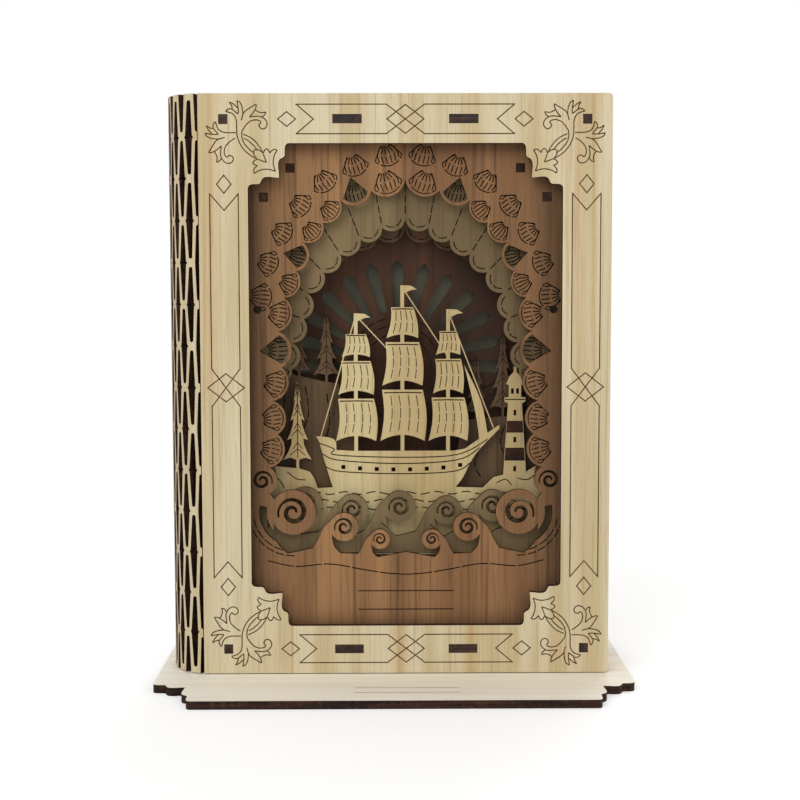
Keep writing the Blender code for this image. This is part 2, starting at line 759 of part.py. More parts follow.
def fir(foot, height_share, half_share):
    """A fir tree's edge, in shares of the window: zigzag up its left side and down its right."""
    across, up = placed([foot])[0]
    height = height_share * WINDOW_HALF_HEIGHT
    half = half_share * WINDOW_HALF_WIDTH
    tier = height * (1 - FIR_TRUNK_SHARE) / FIR_TIERS
    left = [(half * FIR_TRUNK_SHARE, 0.0), (half * FIR_TRUNK_SHARE, height * FIR_TRUNK_SHARE)]
    for number in range(FIR_TIERS):
        width = half * (1 - number / FIR_TIERS)
        low = height * FIR_TRUNK_SHARE + number * tier
        left.append((width, low))
        left.append((width * FIR_TUCK_SHARE, low + tier * (1 - FIR_TUCK_SHARE / 2)))
    left[-1] = (0.0, height)
    right = [(across + x, up + y) for x, y in reversed(left[:-1])]
    return [(across - x, up + y) for x, y in left] + right


# Lighthouse: half widths and heights, as shares of its own two sizes
LIGHTHOUSE_WIDTH_SHARE = 0.66
LIGHTHOUSE_HEIGHT_SHARE = 0.461
LIGHTHOUSE_SHARES = (
    (0.115, 0.0), (0.070, 0.66), (0.105, 0.68), (0.105, 0.715), (0.062, 0.72), (0.062, 0.83),
    (0.090, 0.84), (0.055, 0.91), (0.015, 0.95), (0.015, 1.0),
)


def lighthouse(foot):
    across, up = placed([foot])[0]
    width = LIGHTHOUSE_WIDTH_SHARE * WINDOW_HALF_WIDTH
    height = LIGHTHOUSE_HEIGHT_SHARE * WINDOW_HALF_HEIGHT
    half = [(x * width, y * height) for x, y in LIGHTHOUSE_SHARES]
    left = [(across - x, up + y) for x, y in half]
    right = [(across + x, up + y) for x, y in reversed(half)]
    return left + right


ROCK_LEFT_SHARES = ((-0.945, -0.335),)
ROCK_LEFT_END_SHARES = ((-0.63, -0.37), (-0.60, -0.40), (-0.58, -0.44))
ROCK_RIGHT_SHARES = ((0.51, -0.44), (0.58, -0.395))
ROCK_RIGHT_END_SHARES = ((0.80, -0.37), (0.90, -0.33))
SHIP_FIR_SHARES = (((-0.87, -0.345), 0.250, 0.066), ((-0.71, -0.355), 0.370, 0.092))
LIGHTHOUSE_PLACE_SHARE = (0.72, -0.385)
SHIP_TOP_SHARES = ((0.90, 0.30), (0.82, 0.43), (0.72, 0.54), (0.56, 0.63), (0.40, 0.71),
                   (0.20, 0.76), (0.0, 0.80))


def ship_opening():
    hull = shifted(ship(), *placed([SHIP_PLACE_SHARE])[0])
    left_rock = placed(ROCK_LEFT_SHARES)
    pines = [point for shares in SHIP_FIR_SHARES for point in fir(*shares)]
    left_end = placed(ROCK_LEFT_END_SHARES)
    right_rock = placed(ROCK_RIGHT_SHARES)
    tower = lighthouse(LIGHTHOUSE_PLACE_SHARE)
    right_end = placed(ROCK_RIGHT_END_SHARES)
    edge = left_rock + pines + left_end + hull + right_rock + tower + right_end
    return [edge + clouds(placed(mirrored(SHIP_TOP_SHARES)))]


HEADLAND_LEFT_SHARES = ((-0.92, 0.16), (-0.84, 0.13), (-0.78, 0.05))
HEADLAND_FALL_SHARES = ((-0.44, 0.0), (-0.41, -0.12), (-0.35, -0.20), (-0.33, -0.36))
HEADLAND_RISE_SHARES = ((0.33, -0.36), (0.36, -0.22), (0.40, -0.155))
HEADLAND_RIGHT_SHARES = ((0.925, -0.13), (0.93, 0.02))
HEADLAND_LEFT_FIR_SHARES = (((-0.70, 0.035), 0.230, 0.075), ((-0.52, 0.010), 0.300, 0.088))
HEADLAND_RIGHT_FIR_SHARES = (((0.47, -0.15), 0.270, 0.082), ((0.645, -0.14), 0.370, 0.090),
                             ((0.83, -0.13), 0.290, 0.078))
HEADLAND_TOP_SHARES = ((0.92, 0.28), (0.78, 0.36), (0.66, 0.46), (0.50, 0.52), (0.36, 0.59),
                       (0.18, 0.62), (0.0, 0.66))


def headland_opening():
    left_trees = [point for shares in HEADLAND_LEFT_FIR_SHARES for point in fir(*shares)]
    right_trees = [point for shares in HEADLAND_RIGHT_FIR_SHARES for point in fir(*shares)]
    left = placed(HEADLAND_LEFT_SHARES) + left_trees + placed(HEADLAND_FALL_SHARES)
    right = placed(HEADLAND_RISE_SHARES) + right_trees + placed(HEADLAND_RIGHT_SHARES)
    return [left + right + clouds(placed(mirrored(HEADLAND_TOP_SHARES)))]


# Sunburst: tapered slots round a disc behind the ship, over a solid range of hills
SUN_SHARE = (-0.05, 0.07)
SUN_RADIUS_SHARE = 0.37
RAY_END_SHARE = 0.66
RAY_TIP_SHARE = 0.71
RAYS = 24
RAY_OPEN_SHARE = 0.52
RAYS_UP = range(0, 13)


def sunburst():
    across, up = placed([SUN_SHARE])[0]
    slots = []
    for number in RAYS_UP:
        turn = FULL_TURN * number / RAYS
        half = FULL_TURN / RAYS / 2 * RAY_OPEN_SHARE
        corners = ((SUN_RADIUS_SHARE, -half), (RAY_END_SHARE, -half), (RAY_TIP_SHARE, 0.0),
                   (RAY_END_SHARE, half), (SUN_RADIUS_SHARE, half))
        slot = []
        for reach_share, aside in corners:
            reach = reach_share * WINDOW_HALF_WIDTH
            slot.append((across + reach * math.cos(turn + aside),
                         up + reach * math.sin(turn + aside)))
        slots.append(slot)
    return slots


OPENINGS = (frame_opening, inner_opening, ship_opening, headland_opening, sunburst)
STAINS = (WALNUT, GREIGE, PALE, SLATE, DARK)

# Pegs: square rods through the corners of all five sheets
PEG = 0.003
PEG_NAMES = ("peg_upper_left_outer", "peg_upper_left_inner", "peg_upper_right_inner",
             "peg_upper_right_outer", "peg_lower_left", "peg_lower_right")
UPPER_PEG_SHARES = ((-0.918, 0.790), (-0.745, 0.910), (0.745, 0.910), (0.918, 0.790))
PEG_SIDE_ROOM = 0.0040
PEG_ABOVE_SHELF = 0.0123
LIGHT_HOLE_RADIUS = 0.0015
LIGHT_HOLE_STEPS = 8
LIGHT_HOLE_SHARES = ((-0.955, 0.32), (0.955, 0.32))


def peg_places():
    """The four upper pegs go by the window's corners and the two lower ones by the shelf."""
    across = INNER_HALF - PEG_SIDE_ROOM
    up = SHELF_HEIGHT + PEG_ABOVE_SHELF - PICTURE_Z
    return [*placed(UPPER_PEG_SHARES), (-across, up), (across, up)]


def sheet_outline(low, high):
    """A picture sheet's edge round the window's middle, with two tabs into each side wall."""
    half = INNER_HALF - GAP
    reach = INNER_HALF + PLY
    right = [(half, low)]
    for share in TAB_HEIGHT_SHARES:
        middle = COVER_FOOT + share * COVER_HEIGHT - PICTURE_Z
        near, far = middle - SHEET_TAB / 2, middle + SHEET_TAB / 2
        right += [(half, near), (reach, near), (reach, far), (half, far)]
    right.append((half, high))
    return right + [(-x, y) for x, y in reversed(right)]


def picture_sheets():
    high = BOX_TOP - PLY - GAP - PICTURE_Z
    floors = (BOX_FOOT + PLY + GAP, *[SHELF_HEIGHT + GAP] * DIFFUSER_INDEX)
    peg_holes = [rectangle(place, PEG + 2 * FIT, PEG + 2 * FIT) for place in peg_places()]
    light_holes = [
        circle(place, LIGHT_HOLE_RADIUS, LIGHT_HOLE_STEPS)
        for place in placed(LIGHT_HOLE_SHARES)
    ]
    for index, name in enumerate(SHEET_NAMES):
        outline = sheet_outline(floors[index] - PICTURE_Z, high)
        holes = [*OPENINGS[index](), *peg_holes]
        if index == 0:
            holes += light_holes
        place = (BOOK_SHIFT, sheet_depth(index), PICTURE_Z)
        ply_sheet(name, [outline, *holes], SHEET, place, FACING, STAINS[index])
    outline = sheet_outline(floors[-1] - PICTURE_Z, high)
    place = (BOOK_SHIFT, sheet_depth(DIFFUSER_INDEX), PICTURE_Z)
    ply_sheet("diffuser_panel", [outline], SHEET, place, FACING, FROSTED)


def pegs():
    front = sheet_depth(0) - SHEET / 2
    rear = sheet_depth(DIFFUSER_INDEX - 1) + SHEET / 2
    for name, (across, up) in zip(PEG_NAMES, peg_places()):
        place = (BOOK_SHIFT + across, (front + rear) / 2, PICTURE_Z + up)
        block(name, (PEG, rear - front, PEG), place, BASSWOOD)


# Rear board: it closes the box, carries the light strips and has the battery cut-out
BOARD_LIP = 0.003


def span(low, high):
    return (low + high) / 2


def box_between(name, low, high, material, cutter=False):
    """A box given by two opposite corners, across from the book's middle."""
    size = [b - a for a, b in zip(low, high)]
    centre = [span(a, b) for a, b in zip(low, high)]
    centre[0] += BOOK_SHIFT
    return block(name, size, centre, material, cutter)


def rear_board():
    half_width = WALL_HALF + PLY / 2 + BOARD_LIP
    half_height = (BOX_TOP - BOX_FOOT) / 2 + BOARD_LIP
    outline = rectangle((0, 0), 2 * half_width, 2 * half_height)
    left = SWITCH_BAY_LEFT
    right = CELL_BAY_RIGHT
    middle = (span(left, right), TRAY_MID_Z - PICTURE_Z)
    cut_out = rectangle(middle, right - left, TRAY_HEIGHT - 2 * CUT_OUT_MARGIN)
    holes = [circle(place, MAGNET_RADIUS + FIT) for place in magnet_places()]
    place = (BOOK_SHIFT, WALL_REAR + PLY / 2, PICTURE_Z)
    outlines = [outline, cut_out, *tenon_holes(), *holes]
    ply_sheet("rear_board", outlines, PLY, place, FACING, BASSWOOD)


def battery_tray():
    """An open box whose lid slides in two grooves, out over its right end."""
    low, high = TRAY_FOOT, TRAY_FOOT + TRAY_HEIGHT
    bay_low, bay_high = low + TRAY_WALL, high - TRAY_WALL
    right = TRAY_LEFT + TRAY_LENGTH
    rear = TRAY_REAR
    tray = box_between(
        "battery_tray", (TRAY_LEFT, TRAY_FRONT, low), (right, rear, high), PLASTIC
    )
    cuts = (
        ("cell_bay_cut", (CELL_BAY_LEFT, BAY_FRONT, bay_low),
         (CELL_BAY_RIGHT, rear + OVERRUN, bay_high)),
        ("switch_bay_cut", (SWITCH_BAY_LEFT, BAY_FRONT, bay_low),
         (SWITCH_BAY_LEFT + SWITCH_BAY, rear + OVERRUN, bay_high)),
        ("lid_groove_cut", (CELL_BAY_LEFT, LID_FRONT - GAP, bay_low - GROOVE),
         (right + OVERRUN, LID_REAR + GAP, bay_high + GROOVE)),
        ("lid_mouth_cut", (CELL_BAY_LEFT, LID_FRONT - GAP, bay_low),
         (right + OVERRUN, rear + OVERRUN, bay_high)),
    )
    for name, near, far in cuts:
        combine(tray, box_between(name, near, far, None, cutter=True), "DIFFERENCE")


LID_GRIP_DEPTH = 0.0006
LID_GRIP_WIDTH = 0.0010
LID_GRIP_HEIGHT = 0.012
LID_GRIPS = 3


def battery_lid():
    low = TRAY_FOOT + TRAY_WALL - GROOVE + GAP
    high = TRAY_FOOT + TRAY_HEIGHT - TRAY_WALL + GROOVE - GAP
    left = CELL_BAY_LEFT + GAP
    lid = box_between(
        "battery_lid", (left, LID_FRONT, low), (CELL_BAY_RIGHT, LID_REAR, high), PLASTIC
    )
    for number in range(1, LID_GRIPS + 1):
        grip_left = left + 2 * number * LID_GRIP_WIDTH
        near = (grip_left, LID_REAR - LID_GRIP_DEPTH, TRAY_MID_Z - LID_GRIP_HEIGHT / 2)
        far = (grip_left + LID_GRIP_WIDTH, LID_REAR + OVERRUN, TRAY_MID_Z + LID_GRIP_HEIGHT / 2)
        cut = box_between(f"lid_grip_cut_{number}", near, far, None, cutter=True)
        combine(lid, cut, "DIFFERENCE")


def battery_cells():
    """Two cells, head to tail."""
    middle = span(CELL_BAY_LEFT, CELL_BAY_RIGHT)
    depth = BAY_FRONT + GAP + CELL_RADIUS
    profile = [
        (0.0, 0.0),
        (CELL_RADIUS - CELL_CHAMFER, 0.0),
        (CELL_RADIUS, CELL_CHAMFER),
        (CELL_RADIUS, CELL_BODY - CELL_CHAMFER),
        (CELL_RADIUS - CELL_CHAMFER, CELL_BODY),
        (NUB_RADIUS, CELL_BODY),
        (NUB_RADIUS, CELL_LENGTH),
        (0.0, CELL_LENGTH),
    ]
    offset = CELL_RADIUS + CELL_GAP / 2
    shift = (SPRING_RISE - BUTTON_RISE) / 2
    for name, side, up in (("battery_cell_upper", 1, offset), ("battery_cell_lower", -1, -offset)):
        start = middle - side * (CELL_LENGTH / 2 - shift)
        place = (BOOK_SHIFT + start, depth, TRAY_MID_Z + up)
        turned(name, profile, place, (0, side * RIGHT_ANGLE, 0), WRAP)


SPRING_RADIUS = 0.0032
SPRING_TIP_RADIUS = 0.0012
BUTTON_RADIUS = 0.0016
CONTACT_INSET = 0.0008


def contact_plates():
    """Each end has one plate with a coned spring for one cell and a button for the other."""
    depth = BAY_FRONT + GAP + CELL_RADIUS
    offset = CELL_RADIUS + CELL_GAP / 2
    low = TRAY_MID_Z - BAY_HEIGHT / 2 + CONTACT_INSET
    high = TRAY_MID_Z + BAY_HEIGHT / 2 - CONTACT_INSET
    near_y, far_y = BAY_FRONT + CONTACT_INSET, LID_FRONT - CONTACT_INSET
    for name, side in (("contact_plate_left", 1), ("contact_plate_right", -1)):
        wall = CELL_BAY_LEFT + GAP if side > 0 else CELL_BAY_RIGHT - GAP
        face = wall + side * CONTACT_PLATE
        plate = box_between(
            name, (min(wall, face), near_y, low), (max(wall, face), far_y, high), STEEL
        )
        root = face - side * CONTACT_PLATE / 2
        spring = [(0.0, 0.0), (SPRING_RADIUS, 0.0),
                  (SPRING_TIP_RADIUS, SPRING_RISE + CONTACT_PLATE / 2),
                  (0.0, SPRING_RISE + CONTACT_PLATE / 2)]
        button = [(0.0, 0.0), (BUTTON_RADIUS, 0.0),
                  (BUTTON_RADIUS, BUTTON_RISE + CONTACT_PLATE / 2),
                  (0.0, BUTTON_RISE + CONTACT_PLATE / 2)]
        for label, profile, up in (("spring", spring, side * offset),
                                   ("button", button, -side * offset)):
            place = (BOOK_SHIFT + root, depth, TRAY_MID_Z + up)
            turn = (0, side * RIGHT_ANGLE, 0)
            cone = turned(f"{name}_{label}", profile, place, turn, None, cutter=True)
            combine(plate, cone, "UNION")


# Slide switch: a shell in the switch bay with a slot for its knob
SWITCH_WIDTH = 0.0085
SWITCH_HEIGHT = 0.0140
SWITCH_REAR_SETBACK = 0.0035
SWITCH_SLOT_DEPTH = 0.0030
KNOB = 0.0035
KNOB_WIDTH = 0.0030
KNOB_TRAVEL = 0.0030
KNOB_REACH = 0.0025


def slide_switch():
    middle = SWITCH_BAY_LEFT + SWITCH_BAY / 2
    rear = TRAY_REAR - SWITCH_REAR_SETBACK
    low = TRAY_MID_Z - SWITCH_HEIGHT / 2
    body = box_between(
        "switch_body",
        (middle - SWITCH_WIDTH / 2, BAY_FRONT + GAP, low),
        (middle + SWITCH_WIDTH / 2, rear, low + SWITCH_HEIGHT),
        STEEL,
    )
    slot_half = (KNOB + KNOB_TRAVEL) / 2 + GAP
    cut = box_between(
        "switch_slot_cut",
        (middle - KNOB_WIDTH / 2 - GAP, rear - SWITCH_SLOT_DEPTH, TRAY_MID_Z - slot_half),
        (middle + KNOB_WIDTH / 2 + GAP, rear + OVERRUN, TRAY_MID_Z + slot_half),
        None,
        cutter=True,
    )
    combine(body, cut, "DIFFERENCE")
    knob_low = TRAY_MID_Z - slot_half + GAP
    box_between(
        "switch_knob",
        (middle - KNOB_WIDTH / 2, rear - SWITCH_SLOT_DEPTH + GAP, knob_low),
        (middle + KNOB_WIDTH / 2, rear + KNOB_REACH, knob_low + KNOB),
        PLASTIC,
    )


# Light strips: two flexible boards on the rear board, each with a row of light chips
STRIP_SIDE_ROOM = 0.0135
STRIP_ABOVE_SHELF = 0.014
STRIP_BELOW_TOP = 0.0147
STRIP_HEIGHT = 0.008
STRIP_BOARD = 0.0008
CHIP_LENGTH = 0.0035
CHIP_HEIGHT = 0.0028
CHIP_RISE = 0.0010
CHIPS = 6
STRIP_LENGTH = 2 * (INNER_HALF - STRIP_SIDE_ROOM)
STRIP_LEVELS = (SHELF_HEIGHT + STRIP_ABOVE_SHELF, BOX_TOP - PLY - STRIP_BELOW_TOP)


def light_strips():
    rear = WALL_REAR - GAP
    front = rear - STRIP_BOARD
    for name, level in zip(("led_strip_lower", "led_strip_upper"), STRIP_LEVELS):
        strip = box_between(
            name,
            (-STRIP_LENGTH / 2, front, level - STRIP_HEIGHT / 2),
            (STRIP_LENGTH / 2, rear, level + STRIP_HEIGHT / 2),
            STRIP,
        )
        for number in range(CHIPS):
            middle = STRIP_LENGTH * ((number + 0.5) / CHIPS - 0.5)
            near = (middle - CHIP_LENGTH / 2, front - CHIP_RISE, level - CHIP_HEIGHT / 2)
            far = (middle + CHIP_LENGTH / 2, rear - STRIP_BOARD / 2, level + CHIP_HEIGHT / 2)
            chip = box_between(f"{name}_chip_{number}", near, far, None, cutter=True)
            combine(strip, chip, "UNION")


# Wires: from the switch bay through the shelf's notch to the lower strip, then to the upper one
WIRE_RADIUS = 0.0008
WIRE_BEND_STEPS = 4
WIRE_OUT = 0.006
WIRE_SWAY = 0.003


def wire(name, route):
    curve = bpy.data.curves.new(name, "CURVE")
    curve.dimensions = "3D"
    curve.bevel_depth = WIRE_RADIUS
    curve.bevel_resolution = 1
    curve.use_fill_caps = True
    points = smooth(route, WIRE_BEND_STEPS)
    spline = curve.splines.new("POLY")
    spline.points.add(len(points) - 1)
    for point, spot in zip(spline.points, points):
        point.co = (*spot, 1.0)
    add_object(name, curve, WIRE, (BOOK_SHIFT, 0, 0))


def wires():
    depth = WALL_REAR - WIRE_NOTCH_DEPTH / 2 - GAP
    strip_depth = WALL_REAR - GAP - WIRE_RADIUS
    lower, upper = STRIP_LEVELS
    strip_end = -STRIP_LENGTH / 2 - GAP
    low = lower - STRIP_HEIGHT / 4
    tray_top = TRAY_FOOT + TRAY_HEIGHT + GAP
    wire("wire_tray_to_strip", [
        (WIRE_ACROSS, depth, tray_top),
        (WIRE_ACROSS, depth, SHELF_HEIGHT - PLY / 2),
        (WIRE_ACROSS - WIRE_SWAY / 2, depth, SHELF_HEIGHT + WIRE_SWAY),
        (strip_end - WIRE_OUT, depth, span(SHELF_HEIGHT, low)),
        (strip_end - WIRE_OUT, span(depth, strip_depth), low - WIRE_SWAY),
        (strip_end - WIRE_SWAY, strip_depth, low),
        (strip_end, strip_depth, low),
    ])
    high = lower + STRIP_HEIGHT / 4
    top = upper
    wire("wire_strip_link", [
        (strip_end, strip_depth, high),
        (strip_end - WIRE_SWAY, strip_depth, high),
        (strip_end - WIRE_OUT, strip_depth, high + WIRE_OUT),
        (strip_end - WIRE_OUT, strip_depth, span(high, top)),
        (strip_end - WIRE_OUT, strip_depth, top - WIRE_OUT),
        (strip_end - WIRE_SWAY, strip_depth, top),
        (strip_end, strip_depth, top),
    ])


# Magnets: one pair in the rear board, one in the back cover, which they hold shut
MAGNET_LENGTH = 0.0026
MAGNET_CHAMFER = 0.0002


def magnets(hinge_axis):
    profile = [
        (0.0, 0.0),
        (MAGNET_RADIUS - MAGNET_CHAMFER, 0.0),
        (MAGNET_RADIUS, MAGNET_CHAMFER),
        (MAGNET_RADIUS, MAGNET_LENGTH - MAGNET_CHAMFER),
        (MAGNET_RADIUS - MAGNET_CHAMFER, MAGNET_LENGTH),
        (0.0, MAGNET_LENGTH),
    ]
    starts = (("board", WALL_REAR + PLY), ("cover", BACK - FIT))
    for carrier, rear in starts:
        for label, (across, up) in zip(("lower", "upper"), magnet_places()):
            place = Vector((BOOK_SHIFT + across, rear, PICTURE_Z + up))
            if carrier == "cover":
                place -= hinge_axis.location
            disc = turned(
                f"{carrier}_magnet_{label}", profile, place, (RIGHT_ANGLE, 0, 0), STEEL
            )
            if carrier == "cover":
                disc.parent = hinge_axis


def back_cover_axis():
    """The upright line at the spine's middle, about which the back cover swings."""
    axis = bpy.data.objects.new("back_cover_axis", None)
    axis.location = (COVER_LEFT - SPINE_BULGE + PLY / 2, 0, COVER_FOOT)
    bpy.context.collection.objects.link(axis)
    return axis


base_plate()
front_cover()
spine_hinge()
hinge_axis = back_cover_axis()
back_cover(hinge_axis)
side_wall("hinge_side_wall", -1)
side_wall("fore_edge_wall", 1)
level_wall("bottom_wall", BOX_FOOT + PLY / 2)
level_wall("top_wall", BOX_TOP - PLY / 2)
compartment_shelf()
picture_sheets()
pegs()
rear_board()
battery_tray()
battery_lid()
battery_cells()
contact_plates()
slide_switch()
light_strips()
wires()
magnets(hinge_axis)
bpy.context.view_layer.update()
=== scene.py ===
"""The looks of the folding book lamp: a laser-cut plywood book on a base plate, with a deep
fretwork picture of a ship at sea in its cover window and a spine of slotted plywood that bends.

Metres, +Z up. The picture faces -Y and the book's fore-edge is towards +X.
"""

import math

import bmesh
import bpy
from mathutils import Matrix, Vector, geometry


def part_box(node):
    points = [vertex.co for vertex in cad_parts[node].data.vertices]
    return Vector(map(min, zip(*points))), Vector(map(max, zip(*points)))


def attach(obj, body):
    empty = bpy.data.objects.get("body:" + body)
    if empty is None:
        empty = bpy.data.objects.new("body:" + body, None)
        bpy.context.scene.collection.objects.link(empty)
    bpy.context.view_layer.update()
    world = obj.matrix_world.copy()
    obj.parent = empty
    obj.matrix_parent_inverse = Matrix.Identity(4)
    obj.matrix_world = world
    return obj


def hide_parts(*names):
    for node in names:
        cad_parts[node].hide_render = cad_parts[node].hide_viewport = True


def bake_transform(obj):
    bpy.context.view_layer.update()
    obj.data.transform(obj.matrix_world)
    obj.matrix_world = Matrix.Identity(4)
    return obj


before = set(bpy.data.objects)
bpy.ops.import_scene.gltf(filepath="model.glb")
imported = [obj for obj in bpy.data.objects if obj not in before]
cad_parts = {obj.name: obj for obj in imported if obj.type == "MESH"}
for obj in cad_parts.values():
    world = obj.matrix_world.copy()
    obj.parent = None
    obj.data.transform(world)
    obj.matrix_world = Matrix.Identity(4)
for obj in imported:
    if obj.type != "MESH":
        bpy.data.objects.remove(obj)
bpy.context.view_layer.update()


# Floor, light and camera: a white table under plain soft light, seen from the front by a long
# lens a little above the book's middle. None of it is part of the lamp.
MM = 0.001
SENSOR = 36.0
CAMERA_PLACE = Vector((-2.0, -565.6, 148.5)) * MM
CAMERA_LENS = 68.13
CAMERA_NEAR = 10 * MM
CAMERA_PITCH = math.radians(4.69)
CAMERA_YAW = math.radians(0.46)
CAMERA_ROLL = math.radians(0.11)
FLOOR_SIZE = 1500 * MM
FLOOR_SHADED = 300 * MM
FLOOR_WHITE = 420 * MM
FLOOR_LIFT = 0.29
AMBIENT = 0.55
BOOK_MIDDLE = Vector((0.0, 0.0, 100.0)) * MM
LAMP_SIZE = 900 * MM
LAMPS = (("key", (-0.55, -1.1, 1.0), 9.0), ("fill", (0.9, -1.0, 0.6), 2.3),
         ("rear", (0.3, 1.2, 1.1), 6.0))
TABLE_WHITE = (240, 240, 240)
TABLE_ROUGHNESS = 0.9
PURE_WHITE = (1.0, 1.0, 1.0, 1.0)


def linear(red, green, blue):
    """An sRGB colour, 0 to 255, as Blender's linear one."""
    shares = [level / 255 for level in (red, green, blue)]
    return (*(s / 12.92 if s <= 0.04045 else ((s + 0.055) / 1.055) ** 2.4 for s in shares), 1.0)


def node(tree, kind, inputs=(), **settings):
    """A shader node. Its inputs are values to set or sockets to link."""
    made = tree.nodes.new(kind)
    for key, value in settings.items():
        setattr(made, key, value)
    for key, value in dict(inputs).items():
        if isinstance(value, bpy.types.NodeSocket):
            tree.links.new(value, made.inputs[key])
        else:
            made.inputs[key].default_value = value
    return made.outputs


def new_material(name):
    made = bpy.data.materials.new(name)
    made.use_nodes = True
    return made, made.node_tree, made.node_tree.nodes["Principled BSDF"]


def graded(tree, value, low, high):
    """0 below low, 1 above high, and smooth between."""
    return node(tree, "ShaderNodeMapRange", {"Value": value, "From Min": low, "From Max": high},
                interpolation_type="SMOOTHSTEP")["Result"]


def seen_white(tree):
    """1 for the rays that see a background: camera, glossy and transmission ones."""
    path = node(tree, "ShaderNodeLightPath")
    seen = path["Is Camera Ray"]
    for name in ("Is Glossy Ray", "Is Transmission Ray"):
        seen = node(tree, "ShaderNodeMath", {0: seen, 1: path[name]}, operation="MAXIMUM")[0]
    return seen


def floor_finish():
    """White that keeps the object's shadow near it and is as bright as the sky further off."""
    made, tree, shader = new_material("white_table")
    shader.inputs["Base Color"].default_value = linear(*TABLE_WHITE)
    shader.inputs["Roughness"].default_value = TABLE_ROUGHNESS
    seen = seen_white(tree)
    lift = node(tree, "ShaderNodeMath", {0: seen, 1: FLOOR_LIFT}, operation="MULTIPLY")[0]
    tree.links.new(lift, shader.inputs["Emission Strength"])
    shader.inputs["Emission Color"].default_value = PURE_WHITE
    place = node(tree, "ShaderNodeTexCoord")["Object"]
    away = node(tree, "ShaderNodeVectorMath", {0: place}, operation="LENGTH")["Value"]
    far = graded(tree, away, FLOOR_SHADED, FLOOR_WHITE)
    white = node(tree, "ShaderNodeEmission", {"Color": PURE_WHITE})[0]
    share = node(tree, "ShaderNodeMath", {0: far, 1: seen}, operation="MULTIPLY")[0]
    both = node(tree, "ShaderNodeMixShader", {0: share, 1: shader.outputs[0], 2: white})[0]
    tree.links.new(both, tree.nodes["Material Output"].inputs["Surface"])
    return made


def lamp(name, place, power):
    light = bpy.data.lights.new(name, "AREA")
    light.energy = power
    light.size = LAMP_SIZE
    made = bpy.data.objects.new(name, light)
    made.location = place
    made.rotation_euler = (BOOK_MIDDLE - Vector(place)).to_track_quat("-Z", "Y").to_euler()
    bpy.context.scene.collection.objects.link(made)


table_top = bmesh.new()
bmesh.ops.create_grid(table_top, x_segments=1, y_segments=1, size=FLOOR_SIZE)
table_mesh = bpy.data.meshes.new("floor")
table_top.to_mesh(table_mesh)
table_top.free()
floor = bpy.data.objects.new("floor", table_mesh)
bpy.context.scene.collection.objects.link(floor)
table_mesh.materials.append(floor_finish())

world = bpy.data.worlds.new("white_room")
world.use_nodes = True
world_tree = world.node_tree
backdrop = node(world_tree, "ShaderNodeMath", {0: seen_white(world_tree), 1: 1.0 - AMBIENT},
                operation="MULTIPLY")[0]
backdrop = node(world_tree, "ShaderNodeMath", {0: backdrop, 1: AMBIENT}, operation="ADD")[0]
world_tree.nodes["Background"].inputs["Color"].default_value = PURE_WHITE
world_tree.links.new(backdrop, world_tree.nodes["Background"].inputs["Strength"])
bpy.context.scene.world = world
bpy.context.scene.view_settings.view_transform = "Standard"

for name, place, power in LAMPS:
    lamp(name, place, power)

camera_data = bpy.data.cameras.new("camera")
camera_data.lens = CAMERA_LENS
camera_data.sensor_width = SENSOR
camera_data.clip_start = CAMERA_NEAR
camera = bpy.data.objects.new("camera", camera_data)
look = Matrix.Rotation(-CAMERA_YAW, 4, "Z") @ Matrix.Rotation(
    math.pi / 2 - CAMERA_PITCH, 4, "X") @ Matrix.Rotation(-CAMERA_ROLL, 4, "Z")
camera.matrix_world = Matrix.Translation(CAMERA_PLACE) @ look
bpy.context.scene.collection.objects.link(camera)
bpy.context.scene.camera = camera


# Base plate: 3 mm basswood plywood with its grain along the width, cut by laser to a stepped
# outline, with slots for the feet of the side walls and two thin rules engraved at the front.
X, Y, Z = 0, 1, 2
BOARD, GAP, GROOVE = "board", "gap", "groove"
FACE, EDGE, LINE = 0, 1, 2
ENGRAVED_DEPTH = 0.25 * MM
ENGRAVED_WIDTH = 0.42 * MM
SAW_ROOM = 0.15 * MM
WELD = 1e-7
BASE_CORNER = (15.7 * MM, 23.0 * MM)
FOOT_WIDTH = 8.0 * MM
FOOT_SPREAD = 9.0 * MM
BASE_RULE_HALF = 18.5 * MM
BASE_RULE_SETBACKS = (16.2 * MM, 10.2 * MM)

# Half of a stepped corner, from the end of one side to its sharp tip, as shares of its reach
CORNER_SHARES = ((0.0, 1.0), (0.012, 0.965), (0.045, 0.932), (0.110, 0.912), (0.274, 0.909),
                 (0.315, 0.880), (0.336, 0.830), (0.365, 0.785), (0.430, 0.752), (0.528, 0.747),
                 (0.652, 0.762), (0.770, 0.770))


def rectangle(centre, width, height):
    across, up = centre
    sides = ((-1, -1), (1, -1), (1, 1), (-1, 1))
    return [(across + width / 2 * i, up + height / 2 * j) for i, j in sides]


def stepped_rectangle(half_width, half_height, reach_width, reach_height):
    """A rectangle whose corners step in twice to a sharp tip, as on an old book plate."""
    whole = [*CORNER_SHARES, *((b, a) for a, b in reversed(CORNER_SHARES[:-1]))]
    outline = []
    for side, end, order in ((1, 1, 1), (-1, 1, -1), (-1, -1, 1), (1, -1, -1)):
        for across, up in whole[::order]:
            x = side * (half_width - reach_width * across)
            outline.append((x, end * (half_height - reach_height * up)))
    return outline


def line(points, width=ENGRAVED_WIDTH):
    """The strip round each stretch of a run of straight lines."""
    strips = []
    for start, stop in zip(points, points[1:]):
        a, b = Vector(start), Vector(stop)
        along = (b - a).normalized() * width / 2
        beside = Vector((-along.y, along.x))
        ends = (a - along - beside, b + along - beside, b + along + beside, a - along + beside)
        strips.append([tuple(end) for end in ends])
    return strips


def engraved(strips):
    return [(GROOVE, strip) for strip in strips]


